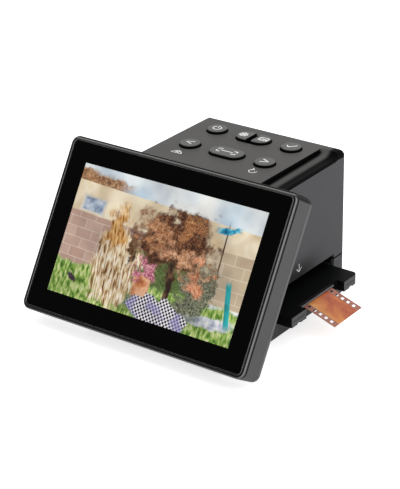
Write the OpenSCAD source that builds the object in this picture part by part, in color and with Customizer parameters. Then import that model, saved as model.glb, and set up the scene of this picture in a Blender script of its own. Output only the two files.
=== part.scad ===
/* [Case] */
// Height of the case from the underside of its base to the top panel
case_h = 109; // [104:1:125]
// Depth of the top of the case
case_top_d = 80; // [78:1:95]
// Width of the raised deck, from the left side to the step
deck_w = 100.8; // [97:0.2:112]
// Width of the lower shelf beside the deck, with its rounded edge
shelf_w = 16; // [12:0.5:22]
// Lean of the front face and of the display, from upright
tilt = 31.4; // [29:0.2:33]
// Wall of the case shells
wall = 2.5; // [2:0.1:3]
// Thickness of the deck under the control panel
deck_t = 2; // [1.6:0.1:2.4]
// Height of the seam between the shells, above the underside
seam_h = 31.1; // [29:0.1:32]
// Open seam between the shells
seam_gap = 0.3; // [0.1:0.1:0.5]
// Radius of the left and front edges
edge_r = 1.5; // [1:0.1:2]
// Radius of the right top edge
side_r = 4.5; // [3:0.5:5]
// Radius of the upright edges at the back
back_r = 1; // [0.5:0.5:6]
// Depth of the step from the deck to the back of the shelf
shelf_drop = 3.1; // [2.8:0.1:4]
// Further fall of the shelf towards the front
shelf_fall = 0.6; // [0.3:0.1:2]
// Sag of the hollow across the shelf
shelf_sag = 0.5; // [0.2:0.1:0.8]
// Radius of the shelf's outer edge
shelf_r = 1.8; // [1:0.1:4]
// Distance of the shelf's level part from the back face
back_rim = 12.5; // [9:0.5:15]
// Radius of the rise that ends the shelf at the back
shelf_end_r = 8; // [7:0.5:9]
// Thickness of the tongue inside the seam
tongue_t = 1.2; // [1:0.1:1.5]
// Height of the tongue above the seam
tongue_h = 2; // [1.5:0.1:2.5]
// Depth of the tongue's root below the seam
tongue_root = 3; // [2:0.5:4]
// Gap between the tongue and the upper shell
tongue_gap = 0.15; // [0.1:0.05:0.3]
// Small gap between pieces that lie beside each other in the case
fit_gap = 0.3; // [0.2:0.05:0.4]
// Gap around a piece pressed into a shallow seat
seat_gap = 0.05; // [0.02:0.01:0.08]

/* [Control panel] */
// Thickness of the control panel
panel_t = 2; // [1.6:0.1:2.4]
// Distance of the back row of buttons from the back face
button_back = 18.3; // [14:0.1:20]
// Distance between the two rows
row_pitch = 32.6; // [30:0.2:36]
// Distance of the middle column of buttons to the right of the deck's middle
button_dx = 2.5; // [0:0.1:4]
// Distance between buttons of one row
button_pitch = 31.4; // [28:0.1:33]
// Diameter of a round button, and width of a long one
button_d = 14.4; // [13:0.2:16]
// Length of a long button
pill_len = 26.6; // [25:0.2:30]
// Gap between the two halves of the divided button
split_gap = 4.4; // [1.5:0.1:5]
// Gap around a button in the panel
button_gap = 0.8; // [0.3:0.1:0.9]
// Height of a button above the panel
button_rise = 2.2; // [1.8:0.1:3]
// Radius of a button's upper edge
button_edge_r = 0.9; // [0.5:0.1:1.2]
// Travel of a button
button_travel = 0.5; // [0.3:0.1:0.7]
// Width of the flange that keeps a button under the panel
flange_w = 1.5; // [1.3:0.1:1.8]
// Thickness of the flange
flange_t = 1; // [0.8:0.1:1.2]
// Gap around the flange in the deck
flange_side_gap = 0.5; // [0.3:0.1:0.8]
// Gap between the flange and the panel above it
flange_top_gap = 0.2; // [0.1:0.05:0.3]
// Diameter of a button's stem
stem_d = 4; // [3:0.5:5]

/* [Display] */
// Width of the lit area
screen_w = 152.4; // [140:0.2:156]
// Height of the lit area
screen_h = 91.4; // [80:0.2:96]
// Width of the display
display_w = 187; // [182:0.2:200]
// Height of the display
display_h = 125.5; // [123:0.5:127]
// Thickness of the display
display_t = 21.5; // [20:0.5:25]
// Radius of the display's corners
display_r = 6; // [5:0.5:9]
// Width of the rim around the cover glass
rim_w = 2.8; // [2.4:0.1:4]
// Radius of the rim's front edge
rim_r = 1.2; // [0.8:0.1:1.4]
// Depth of the rim frame
rim_d = 2.1; // [1.8:0.1:3]
// Width and depth of the groove behind the rim
groove = 0.8; // [0.5:0.1:1.2]
// Wall of the display shells
display_wall = 2.2; // [1.8:0.1:2.6]
// Depth of the back cover's edge
cover_d = 3.7; // [3.4:0.1:4.5]
// Open seam in front of the back cover
cover_seam = 0.3; // [0.2:0.1:0.5]
// Radius of the back cover's edge
cover_r = 1.4; // [1:0.1:2]
// Thickness of the cover glass
glass_t = 1.1; // [0.8:0.1:1.4]
// Depth of the glass below the rim
glass_sink = 0.3; // [0.2:0.1:0.5]
// Gap around the glass
glass_gap = 0.2; // [0.1:0.05:0.3]
// Width of the ledge under the glass
glass_ledge = 3; // [2:0.5:5]
// Thickness of the picture panel
lcd_t = 2.5; // [2:0.1:3]
// Border of the picture panel around the lit area
lcd_border = 5; // [3:0.5:6]
// Thickness of the panel's own lamp unit
lamp_unit_t = 3.4; // [2.5:0.1:3.6]
// Thickness of the plate that carries the picture panel
midplate_t = 1.5; // [1.2:0.1:1.8]
// Width of the display's board
display_board_w = 116; // [110:1:124]
// Height of the display's board
display_board_h = 58; // [52:1:64]
// Distance of the cover screws from the display's sides
cover_screw_dx = 13; // [12:0.5:16]
// Distance of the cover screws from the display's top and bottom
cover_screw_dy = 14; // [12:0.5:18]
// Radius of the rubber bumpers behind the display
bumper_r = 4; // [3:0.5:5]
// Thickness of the bumpers
bumper_t = 0.8; // [0.6:0.1:1]
// Distance of the bumpers from the sides of the case
bumper_dx = 16; // [14:0.5:20]
// Distance of the bumpers from the display's lower edge
bumper_dy = 22; // [18:0.5:26]
// Gap between the case front and the display's back
display_gap = 0.5; // [0.4:0.1:1]
// Distance of the display's top below the deck's front edge
display_drop = 1.5; // [0.5:0.1:2.5]

/* [Hinge] */
// Distance of each hinge from the side of the deck
hinge_inset = 11.8; // [9:0.2:14]
// Distance of the hinge axis from the display's top and back
hinge_r = 3.2; // [3.1:0.05:3.4]
// Width of a hinge knuckle
knuckle_w = 10; // [8:0.5:12]
// Gap beside a knuckle
knuckle_gap = 0.3; // [0.2:0.1:0.5]
// Width of each barrel on the display
barrel_w = 8; // [6:0.5:10]
// Radius of the hinge pin
pin_r = 1.5; // [1.2:0.1:1.6]
// Running clearance around the pin
pin_clear = 0.05; // [0.02:0.01:0.1]
// Depth of a pin's end inside its barrel
pin_sink = 1; // [0.5:0.1:2]
// Thickness of the hinge leaf
leaf_t = 2; // [1.6:0.1:2.4]
// Length of the hinge leaf inside the case
leaf_len = 20; // [16:1:26]
// Gap around the knuckle and arm
hinge_clear = 0.35; // [0.3:0.05:0.5]

/* [Film tray] */
// Length of the tray
tray_len = 120; // [116:1:124]
// Width of the tray
tray_w = 83.8; // [78:0.2:86]
// Thickness of the tray with its cover
tray_t = 7.4; // [6.4:0.2:8]
// Length of tray outside the case
tray_out = 20.5; // [16:0.5:24]
// Height of the tray above the case's underside
tray_lift = 18.5; // [18:0.1:20]
// Distance of the tray from the back face
tray_back = 13.25; // [13:0.25:16]
// Radius of the tray's outer corner at the back
tray_r = 4; // [2:0.5:6]
// Radius of the tray's outer corner at the front
tray_front_r = 1; // [0.5:0.5:6]
// Width of the finger notch in the tray's end
notch_w = 48; // [42:0.5:52]
// Depth of the finger notch
notch_d = 6.8; // [5:0.2:9]
// Width of the small notches under the tray's end faces
tray_notch_w = 4; // [3:0.5:6]
// Depth of the small notches
tray_notch_d = 1; // [0.6:0.1:1.4]
// Width of the shallow notches under the cover's end faces
cover_notch_w = 14; // [10:0.5:18]
// Height of the slot in the case
slot_h = 16.4; // [15:0.2:17]
// Gap beside the tray in the slot
slot_side = 1; // [0.8:0.1:1.4]
// Gap under the tray
slot_under = 0.3; // [0.2:0.1:0.5]
// Wall of the tray guide
guide_t = 2; // [1.6:0.1:2.2]
// Reach of the guide's lips over the tray
guide_lip = 2.5; // [2:0.1:3]
// Thickness of the guide's lips
guide_lip_t = 1.2; // [1:0.1:1.6]
// Distance of the guide's screws from the optical axis
ear_dx = 28; // [24:0.5:34]
// Distance of the guide's screw posts from its walls
ear_gap = 0.5; // [0.4:0.1:1]
// Thickness of the leaf springs beside the tray
spring_t = 0.3; // [0.2:0.05:0.4]
// Radius of a leaf spring's bump
spring_r = 3; // [2.5:0.5:5]
// Length of a leaf spring
spring_len = 28; // [20:1:36]
// Width of a leaf spring
spring_w = 4; // [3:0.2:5]
// Gap between the lips and the tray
lip_gap = 0.3; // [0.2:0.1:0.5]
// Width of the light-coloured film gate
gate_w = 40.4; // [38:0.2:42]
// Thickness of the film gate
gate_t = 1.2; // [0.8:0.1:1.4]
// Length of the film gate
gate_len = 3.6; // [3:0.2:5]
// Reach of the film gate past the notch
gate_out = 0.6; // [0.4:0.1:1]
// Radius of a tray magnet
magnet_r = 2.5; // [2:0.1:3]
// Thickness of a tray magnet
magnet_t = 1.5; // [1:0.1:1.8]
// Distance of the magnets from the tray's sides
magnet_dy = 9; // [8:0.5:12]
// Distance of the back magnets from the tray's inner end
magnet_back = 8; // [6:0.5:12]
// Distance of the front magnets from the finger notch
magnet_front = 12; // [8:0.5:16]

/* [Film] */
// Width of the film
film_w = 35; // [34.9:0.05:35.1]
// Thickness of the film
film_t = 0.2; // [0.14:0.02:0.26]
// Length of the film strip
film_len = 146; // [120:1:148]
// Length of film outside the gate
film_out = 26.5; // [20:0.5:32]
// Angle at which the free end hangs
film_droop = 18.7; // [12:0.1:22]
// Radius of the bend at the gate
film_bend_r = 10; // [8:0.5:16]
// Height of the film channel
channel_h = 1; // [0.8:0.1:1.2]
// Gap beside the film
channel_side = 0.4; // [0.2:0.1:0.6]
// Length of a perforation along the film
perf_l = 2; // [1.9:0.05:2.1]
// Width of a perforation
perf_w = 2.8; // [2.7:0.05:2.9]
// Pitch of the perforations
perf_pitch = 4.75; // [4.7:0.01:4.8]
// Distance of the perforations from the film's edge
perf_edge = 2; // [1.9:0.05:2.1]
// Distance of the first perforation from the film's end
perf_start = 4.8; // [3:0.1:6]
// Width of the picture window
window_w = 36.4; // [36:0.1:37]
// Height of the picture window
window_h = 24.4; // [24:0.1:25]

/* [Optics] */
// Thickness of the bridge that carries the optics
bridge_t = 2.4; // [2:0.1:3]
// Length of the bridge
bridge_w = 92; // [84:1:100]
// Gap between the slot's top and the bridge
bridge_gap = 0.9; // [0.6:0.1:1.2]
// Gap around the picture window in the bridge and the guide
window_gap = 1.5; // [1:0.1:2]
// Width of the light hood
hood_w = 44; // [42:0.5:48]
// Depth of the light hood
hood_d = 33; // [31:0.5:36]
// Wall of the light hood
hood_wall = 1.6; // [1.2:0.1:2]
// Height of the light hood
hood_h = 28; // [24:1:30]
// Outer radius of the lens holder's collar
collar_r = 11; // [10:0.5:12]
// Height of the lens holder's collar
collar_h = 13; // [12:0.5:15]
// Thickness of the lens holder's plate
holder_t = 3; // [2.5:0.1:3.5]
// Outer radius of the lens barrel
lens_r = 7.5; // [7:0.1:8]
// Length of the lens barrel
lens_len = 15; // [13:0.5:16]
// Wall of the lens barrel
lens_wall = 1.5; // [1.2:0.1:2]
// Fit gap of the lens barrel and of its glasses
lens_fit = 0.05; // [0.02:0.01:0.08]
// Side of the image sensor
sensor_w = 9; // [7:0.5:10]
// Thickness of the image sensor
sensor_t = 1.2; // [1:0.1:1.5]
// Distance between the lens and the sensor
sensor_space = 3; // [2:0.1:4]
// Width of the sensor board
sensor_board_w = 34; // [30:1:38]
// Depth of the sensor board
sensor_board_d = 27; // [24:1:32]
// Width of the sensor's cable
sensor_ribbon_w = 10; // [8:0.5:12]

/* [Backlight] */
// Width of the backlight board
light_board_w = 66; // [62:1:70]
// Depth of the backlight board
light_board_d = 50; // [48:1:56]
// Width of the reflector
reflector_w = 52; // [48:1:54]
// Depth of the reflector
reflector_d = 38; // [36:1:40]
// Wall of the reflector
reflector_t = 1.2; // [1:0.1:1.6]
// Thickness of the diffuser
diffuser_t = 2; // [1.5:0.1:2.4]
// Height of a post under a board
post_h = 2; // [1.6:0.1:3]
// Pitch of the backlight's LEDs
led_pitch = 11; // [9:0.5:12]
// Side of an LED
led_w = 3.2; // [2.8:0.1:3.5]
// Height of an LED
led_h = 1.2; // [0.8:0.1:1.6]

/* [Boards and sockets] */
// Thickness of the circuit boards
board_t = 1.6; // [1.2:0.1:1.8]
// Gap between the main board and the side walls
board_side = 1.3; // [0.8:0.1:2]
// Distance between the deck and the main board
board_drop = 5; // [4.6:0.1:5.5]
// Gap between the main board and the back wall
board_back = 0.5; // [0.3:0.1:1]
// Gap between the main board and the hinge leaves on the leaning front
board_front = 4.7; // [4:0.1:6]
// Distance of the main board's screws from its sides
board_post_dx = 4.5; // [3.5:0.5:5]
// Distance of the front board screws from the board's front edge
board_post_dy = 8.2; // [6:0.2:10]
// Distance of a board's screws from its edges
board_inset = 3; // [2.8:0.1:4]
// Side of the processor
chip_w = 13; // [11:0.5:14]
// Height of the processor
chip_h = 1.2; // [0.8:0.1:1.6]
// Side of a push switch
switch_w = 6; // [5:0.5:6.5]
// Height of a push switch's body
switch_h = 3; // [2.6:0.1:3.4]
// Radius of a push switch's plunger
plunger_r = 1.7; // [1.4:0.1:2]
// Height of a push switch's plunger
plunger_h = 1; // [0.8:0.1:1.3]
// Gap between a stem and its plunger beyond the travel
stem_gap = 0.1; // [0.05:0.05:0.2]
// Height of the sockets
socket_h = 3.2; // [3:0.1:3.4]
// Depth of the sockets
socket_d = 8; // [7:0.5:10]
// Gap around a socket in the back wall
socket_gap = 0.3; // [0.2:0.1:0.5]
// Depth of a socket's mouth below the back face
socket_sink = 0.4; // [0.2:0.1:1]
// Thickness of a socket's shell
socket_wall = 0.4; // [0.3:0.1:0.6]
// Thickness of a socket's closed back
socket_back = 1.2; // [1:0.1:1.6]
// Width of the power and data socket
usb_w = 9; // [8.8:0.1:9.2]
// Place of the power and data socket
usb_x = -30; // [-34:1:-24]
// Width of the video socket
hdmi_w = 11.2; // [11:0.1:11.6]
// Place of the video socket
hdmi_x = -8; // [-12:1:-4]
// Width of the card slot
card_w = 26; // [25:0.5:28]
// Place of the card slot
card_x = 24; // [20:1:28]
// Width of the ribbon cables
ribbon_w = 16; // [12:1:20]
// Thickness of the ribbon cables
ribbon_t = 0.3; // [0.2:0.05:0.4]

/* [Feet and screws] */
// Height of a foot below the case
foot_h = 1.5; // [1:0.1:2.5]
// Radius of a foot
foot_r = 6; // [5:0.5:8]
// Depth of a foot's seat in the base
foot_sink = 0.5; // [0.3:0.1:0.8]
// Distance of the feet from the sides of the base
foot_inset = 11; // [10:0.5:14]
// Distance of the back feet from the back face
foot_back = 20; // [19:0.5:26]
// Distance of the front feet from the front of the base
foot_front = 15; // [13:0.5:16]
// Radius of a case screw's shank
case_screw_r = 1.4; // [1.2:0.1:1.5]
// Radius of a case screw's head
case_head_r = 2.7; // [2.4:0.1:2.8]
// Length of a case screw's shank
case_screw_len = 15; // [13:0.5:16]
// Height of a screw head
head_h = 1.8; // [1.5:0.1:2]
// Radius of a case screw column
column_r = 4.4; // [4.2:0.1:4.8]
// Radius of a small screw's shank
small_screw_r = 1; // [0.9:0.05:1.1]
// Radius of a small screw's head
small_head_r = 1.9; // [1.7:0.1:2.1]
// Length of a small screw's shank
small_screw_len = 4; // [3.6:0.1:4.4]
// Height of a small screw's head
small_head_h = 1.2; // [1:0.1:1.4]
// Depth of a sunk small head below the surface
small_head_sink = 0.4; // [0.2:0.1:0.6]
// Gap between a screw and the hole that it bites in
screw_gap = 0.05; // [0.03:0.01:0.1]
// Gap between a screw and the hole that it passes through
hole_gap = 0.15; // [0.1:0.05:0.3]
// Gap around a sunk screw head
head_gap = 0.3; // [0.2:0.1:0.5]
// Radius of a small screw's post
post_r = 2.8; // [2.6:0.1:3.2]

/* [Hidden] */
$fn = 64;
eps = 0.01;
over = 1;
base_z = foot_h;
top_z = base_z + case_h;
deck_z = top_z - panel_t;
ceil_z = deck_z - deck_t;
seam_z = base_z + seam_h;
floor_z = base_z + wall;
case_l = -deck_w / 2;
case_r = deck_w / 2 + shelf_w;
in_l = case_l + wall;
in_r = case_r - wall;
function slope_y(z) = -case_top_d - (top_z - z) * tan(tilt);
case_d = -slope_y(base_z);
shelf_len = case_top_d - back_rim;
shelf_pitch = atan(shelf_fall / shelf_len);
side_ceil_z = top_z - shelf_drop - shelf_fall - shelf_sag - wall;

// The tray and its slot
tray_z = base_z + tray_lift;
tray_top_z = tray_z + tray_t;
film_z = tray_z + tray_t / 2;
slot_z = tray_z - slot_under;
slot_top_z = slot_z + slot_h;
tray_y1 = -tray_back;
tray_y0 = tray_y1 - tray_w;
tray_yc = (tray_y0 + tray_y1) / 2;
slot_y0 = tray_y0 - slot_side;
slot_y1 = tray_y1 + slot_side;
tray_x1 = case_r + tray_out;
tray_x0 = tray_x1 - tray_len;
gate_x = tray_x1 - notch_d;
opt_x = (case_l + case_r) / 2;
opt_y = tray_yc;

// The guide, bridge and optics
guide_x0 = in_l + tongue_gap + tongue_t + fit_gap;
guide_x1 = in_r - fit_gap;
guide_y0 = slot_y0 - guide_t;
guide_y1 = slot_y1 + guide_t;
guide_z = slot_z - guide_t;
guide_top_z = slot_top_z + bridge_gap;
ear_xs = [opt_x - ear_dx, opt_x + ear_dx];
ear_ys = [guide_y0 - post_r - ear_gap, guide_y1 + post_r + ear_gap];
bridge_z1 = guide_top_z + bridge_t;
holder_z = bridge_z1 + hood_h;
collar_z1 = holder_z + holder_t + collar_h;
lens_z0 = collar_z1 - sensor_t - sensor_space - lens_len;
sensor_board_z = collar_z1;

// The backlight
light_board_z = floor_z + post_h;
light_z = light_board_z + board_t;
diffuser_z = guide_z - diffuser_t;
light_post_x = light_board_w / 2 - board_inset;
light_post_y = light_board_d / 2 - board_inset;

// The main board and the buttons
board_z1 = ceil_z - board_drop;
board_z = board_z1 - board_t;
board_y1 = -wall - board_back;
board_y0 = slope_y(board_z1) + (wall + leaf_t) / cos(tilt) + board_front;
board_d = board_y1 - board_y0;
board_w = deck_w - 2 * wall - 2 * board_side;
board_post_x = board_w / 2 - board_post_dx;
board_post_ys = [-button_back - row_pitch / 2, board_y0 + board_post_dy];
sensor_screw_x = sensor_board_w / 2 - board_inset;
plunger_z = board_z1 + switch_h + plunger_h;
flange_z1 = deck_z - flange_top_gap;
flange_z = flange_z1 - flange_t;
stem_z = plunger_z + button_travel + stem_gap;
button_h = top_z + button_rise - flange_z1;
row_back_y = -button_back;
row_front_y = row_back_y - row_pitch;
half_x = pill_len / 4 + split_gap / 4;

hinge_x = deck_w / 2 - hinge_inset;

// The display, in its own frame: back face at 0, middle at the origin
housing_z = cover_d + cover_seam;
rim_z = display_t - rim_d;
glass_w = display_w - 2 * rim_w;
glass_h = display_h - 2 * rim_w;
glass_r = display_r - rim_w;
glass_z1 = display_t - glass_sink;
glass_z = glass_z1 - glass_t;
lcd_w = screen_w + 2 * lcd_border;
lcd_h = screen_h + 2 * lcd_border;
lcd_z = glass_z - lcd_t;
lamp_z = lcd_z - lamp_unit_t;
midplate_z = lamp_z - fit_gap - midplate_t;
display_board_z1 = midplate_z - post_h;
display_board_z = display_board_z1 - board_t;
display_post_x = display_board_w / 2 - board_inset;
display_post_y = display_board_h / 2 - board_inset;
axis_y = display_h / 2 - hinge_r;
axis_z = hinge_r;
knuckle_r = hinge_r - 0.2;
notch_half = knuckle_w / 2 + knuckle_gap + barrel_w + hinge_clear;
ribbon_notch = ribbon_w / 2 + 3;
cover_screw_x = display_w / 2 - cover_screw_dx;
cover_screw_y = display_h / 2 - cover_screw_dy;
boss_z = housing_z + 1.5;

// The free end of the film
bend_dx = film_bend_r * sin(film_droop);
bend_dz = film_bend_r * (1 - cos(film_droop));
bend_len = film_bend_r * film_droop * PI / 180;
tip_run = film_out - bend_len;
film_tip_x = gate_x + bend_dx + tip_run * cos(film_droop);

// Case screws
column_sink = 1.2;
column_front = 3;
column_xs = [in_l + column_r - column_sink, in_r - column_r + column_sink];
column_ys = [slope_y(seam_z) + wall / cos(tilt) + column_r + column_front, -wall - column_r + column_sink];
seat_z = seam_z - case_screw_len / 2;

// Shift that puts the origin under the middle of the whole object
x_min = -display_w / 2;
x_max = film_tip_x + film_t / 2 * sin(film_droop);
front_out = display_gap + display_t - rim_r;
low_out = display_drop + display_h - rim_r;
y_min = -case_top_d - front_out * cos(tilt) - low_out * sin(tilt) - rim_r;
origin_shift = [-(x_min + x_max) / 2, -y_min / 2, 0];

// Rectangle with its own radius at each corner: front left, front right, back right, back left
module soft_rect(x0, y0, x1, y1, radii) {
    corners = [[x0, y0, 1, 1], [x1, y0, -1, 1], [x1, y1, -1, -1], [x0, y1, 1, -1]];
    difference() {
        translate([x0, y0]) square([x1 - x0, y1 - y0]);
        for (i = [0:3]) if (radii[i] > 0) corner_bite(corners[i], radii[i]);
    }
}

// What a rounded corner loses
module corner_bite(c, r) {
    difference() {
        translate([c[0] - (c[2] < 0 ? r : over), c[1] - (c[3] < 0 ? r : over)]) square(r + over);
        translate([c[0] + c[2] * r, c[1] + c[3] * r]) circle(r);
    }
}

module centred_rect(w, h, r) soft_rect(-w / 2, -h / 2, w / 2, h / 2, [r, r, r, r]);

module box(x0, x1, y0, y1, z0, z1) translate([x0, y0, z0]) cube([x1 - x0, y1 - y0, z1 - z0]);

module in_place() translate(origin_shift) children();

// Frame on the leaning front: origin at the deck's front edge, Y up the face, Z outwards
module on_slope() in_place() translate([0, -case_top_d, top_z]) rotate([90 - tilt, 0, 0]) children();

// Frame of the display: middle of its back face, Z towards the viewer
module in_display() on_slope() translate([0, -display_drop - display_h / 2, display_gap]) children();

// Screw with its head below z = 0 and its shank upwards, with a cross recess
module screw(shank_r, len, head_r, h) {
    difference() {
        union() {
            cylinder(r = shank_r, h = len, $fn = 24);
            translate([0, 0, -h]) cylinder(r = head_r, h = h, $fn = 32);
        }
        for (turn = [0, 90]) rotate([0, 0, turn])
            box(-head_r * 0.62, head_r * 0.62, -head_r * 0.14, head_r * 0.14, -h - over, -h * 0.45);
    }
}

module small_screw() screw(small_screw_r, small_screw_len, small_head_r, small_head_h);

// Side view of the case, drawn in Y and Z and set in by a wall
module wedge(inset, z0, z1) {
    function y_at(z) = slope_y(z) + inset / cos(tilt);
    polygon([[-inset, z0], [-inset, z1], [y_at(z1), z1], [y_at(z0), z0]]);
}

module along_x(x0, x1) translate([x0, 0, 0]) rotate([90, 0, 90]) linear_extrude(x1 - x0) children();

module case_outer(z0, z1) {
    intersection() {
        along_x(case_l, case_r) wedge(0, z0, z1);
        rotate([90, 0, 0]) linear_extrude(case_d)
            soft_rect(case_l, base_z - over, case_r, top_z, [0, 0, side_r, edge_r]);
        translate([0, 0, base_z]) linear_extrude(case_h)
            soft_rect(case_l, -case_d, case_r, 0, [0, 0, back_r, edge_r]);
    }
}

module case_cavity(z0) {
    along_x(in_l, deck_w / 2 - wall) wedge(wall, z0, ceil_z);
    along_x(in_l, in_r) wedge(wall, z0, side_ceil_z);
}

// Cross-section of what the shelf takes away: above it, outside its edge, and its hollow
module shelf_profile() {
    foot_w = shelf_w - shelf_r;
    hollow_r = (foot_w * foot_w / 4 + shelf_sag * shelf_sag) / (2 * shelf_sag);
    difference() {
        translate([0, -shelf_r]) square([shelf_w + over, shelf_r + shelf_drop + 2 * shelf_fall + over]);
        soft_rect(-over, -2 * shelf_r, shelf_w + eps, 0, [0, 0, shelf_r, 0]);
    }
    intersection() {
        translate([foot_w / 2, hollow_r - shelf_sag]) circle(hollow_r, $fn = 128);
        translate([0, -shelf_sag]) square([foot_w, shelf_sag + over]);
    }
}

// The shelf runs straight from the front and then rises to the deck along an arc
module shelf_cut() {
    translate([deck_w / 2, -back_rim, top_z - shelf_drop]) rotate([90 + shelf_pitch, 0, 0]) {
        linear_extrude(case_d) shelf_profile();
        translate([0, shelf_end_r, 0]) rotate([-90, 0, 0]) rotate([0, 90, 0])
            rotate_extrude(angle = 80) translate([shelf_end_r, 0]) rotate(90) shelf_profile();
    }
}

module slot_cut() box(in_r - over, case_r + over, slot_y0, slot_y1, slot_z, slot_top_z);

// Slab of the case's top that the panel fills, from the left side to the step
module panel_slab(z1) box(case_l - over, deck_w / 2, -case_d, over, deck_z, z1);

// Places of the buttons: x, y and kind
left_x = button_dx - button_pitch;
right_x = button_dx + button_pitch;
buttons = [[left_x, row_back_y, "round"], [button_dx, row_back_y, "left"], [button_dx, row_back_y, "right"],
    [right_x, row_back_y, "round"], [left_x, row_front_y, "round"], [button_dx, row_front_y, "pill"],
    [right_x, row_front_y, "round"]];

// Outline of a button, grown by a gap
module button_outline(kind, grow) {
    r = button_d / 2 + grow;
    half = pill_len / 2 + grow;
    if (kind == "round") circle(r);
    else if (kind == "pill") soft_rect(-half, -r, half, r, [r, r, r, r]);
    else intersection() {
        soft_rect(-half, -r, half, r, [r, r, r, r]);
        if (kind == "left") translate([-2 * half, -r]) square([2 * half - split_gap / 2 + grow, 2 * r]);
        else translate([split_gap / 2 - grow, -r]) square([2 * half, 2 * r]);
    }
}

function stem_x(kind) = kind == "left" ? -half_x : kind == "right" ? half_x : 0;

// Holes through the deck that clear the flanges
module flange_holes() {
    for (b = buttons) translate([b[0], b[1], ceil_z - over])
        linear_extrude(deck_t + 2 * over)
            button_outline(b[2] == "round" ? "round" : "pill", flange_w + flange_side_gap);
}

module socket_cut(x, w) {
    box(x - w / 2 - socket_gap, x + w / 2 + socket_gap, -wall - over, over,
        board_z - socket_h - socket_gap, board_z + socket_gap);
}

// Arm slots and ribbon slot in the leaning wall, in the frame of the slope
module slope_slots() {
    y = -display_drop - hinge_r;
    half_h = leaf_t / 2 + hinge_clear;
    for (x = [-hinge_x, hinge_x]) {
        half_w = knuckle_w / 2 + hinge_clear;
        box(x - half_w, x + half_w, y - half_h, y + half_h, -wall - deck_t - panel_t, over);
    }
    box(-ribbon_w / 2 - 1, ribbon_w / 2 + 1, y - half_h, y + half_h, -wall - deck_t - panel_t, over);
}

// Places of the screws in a hinge leaf, in the frame of the slope
leaf_screw_ys = [-display_drop - hinge_r - leaf_len * 0.4, -display_drop - hinge_r - leaf_len * 0.8];
leaf_skin = 0.6;

module leaf_screw_holes(r, depth) {
    for (x = [-hinge_x, hinge_x]) for (y = leaf_screw_ys)
        translate([x, y, -wall - over]) cylinder(r = r, h = depth + over, $fn = 24);
}

// A piece at both bumpers, in the frame of the slope, on the bottom of their seats
module at_bumpers() {
    for (x = [case_l + bumper_dx, case_r - bumper_dx])
        translate([x, -display_drop - display_h + bumper_dy, display_gap - fit_gap - bumper_t]) children();
}

module at_columns(z) for (x = column_xs) for (y = column_ys) translate([x, y, z]) children();

module at_board_posts(z) {
    for (x = [-board_post_x, board_post_x]) for (y = board_post_ys) translate([x, y, z]) children();
}

module upper_housing() color("#4a4a4b") in_place() {
    difference() {
        union() {
            difference() {
                case_outer(seam_z + seam_gap, top_z);
                case_cavity(seam_z);
            }
            intersection() {
                at_columns(seam_z + seam_gap) cylinder(r = column_r, h = case_screw_len / 2 + column_front);
                case_outer(seam_z, top_z);
            }
            at_board_posts(board_z1) cylinder(r = post_r, h = board_drop + eps);
        }
        shelf_cut();
        panel_slab(top_z + over);
        slot_cut();
        flange_holes();
        socket_cut(usb_x, usb_w);
        socket_cut(hdmi_x, hdmi_w);
        socket_cut(card_x, card_w);
        at_columns(seam_z) cylinder(r = case_screw_r + screw_gap, h = case_screw_len / 2 + 1, $fn = 24);
        at_board_posts(board_z1 - over)
            cylinder(r = small_screw_r + screw_gap, h = small_screw_len + over, $fn = 24);
        translate([0, -case_top_d, top_z]) rotate([90 - tilt, 0, 0]) {
            slope_slots();
            leaf_screw_holes(small_screw_r + screw_gap, wall - leaf_skin);
        }
    }
}

// Posts on the base's floor: under the guide's ears and under the backlight board
module at_ears(z) for (x = ear_xs) for (y = ear_ys) translate([x, y, z]) children();

module at_light_posts(z) {
    for (x = [-light_post_x, light_post_x]) for (y = [-light_post_y, light_post_y])
        translate([opt_x + x, opt_y + y, z]) children();
}

module at_feet(z) {
    for (x = [case_l + foot_inset, case_r - foot_inset]) for (y = [-case_d + foot_front, -foot_back])
        translate([x, y, z]) children();
}

// Tongue that keeps light out of the seam, inside the left and back walls
module seam_tongue() {
    y0 = column_ys[0] + column_r + over;
    y1 = column_ys[1] - column_r - over;
    x0 = column_xs[0] + column_r + over;
    x1 = column_xs[1] - column_r - over;
    inner = tongue_gap + tongue_t;
    box(in_l + tongue_gap, in_l + inner, y0, y1, seam_z - over, seam_z + tongue_h);
    box(in_l, in_l + inner, y0, y1, seam_z - tongue_root, seam_z);
    box(x0, x1, -wall - inner, -wall - tongue_gap, seam_z - over, seam_z + tongue_h);
    box(x0, x1, -wall - inner, -wall, seam_z - tongue_root, seam_z);
}

module base_housing() color("#454546") in_place() {
    difference() {
        union() {
            difference() {
                case_outer(base_z, seam_z);
                case_cavity(floor_z);
            }
            intersection() {
                at_columns(base_z) cylinder(r = column_r, h = seam_z - base_z);
                case_outer(base_z, seam_z);
            }
            at_ears(floor_z - eps) cylinder(r = post_r, h = guide_z - floor_z + eps);
            at_light_posts(floor_z - eps) cylinder(r = post_r, h = post_h + eps);
            seam_tongue();
        }
        slot_cut();
        at_feet(base_z - over) cylinder(r = foot_r, h = foot_sink + over);
        at_columns(base_z - over) cylinder(r = case_head_r + head_gap, h = seat_z - base_z + over);
        at_columns(base_z) cylinder(r = case_screw_r + hole_gap, h = seam_z - base_z + over, $fn = 24);
        at_ears(guide_z - small_screw_len)
            cylinder(r = small_screw_r + screw_gap, h = small_screw_len + over, $fn = 24);
        at_light_posts(light_board_z - small_screw_len + board_t)
            cylinder(r = small_screw_r + screw_gap, h = small_screw_len + over, $fn = 24);
        translate([0, -case_top_d, top_z]) rotate([90 - tilt, 0, 0])
            at_bumpers() cylinder(r = bumper_r, h = bumper_t + over);
    }
}

module control_panel() color("#505052") in_place() {
    difference() {
        intersection() {
            case_outer(deck_z, top_z);
            panel_slab(top_z);
        }
        for (b = buttons) translate([b[0], b[1], deck_z - over])
            linear_extrude(panel_t + 2 * over) button_outline(b[2] == "round" ? "round" : "pill", button_gap);
    }
}

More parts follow.
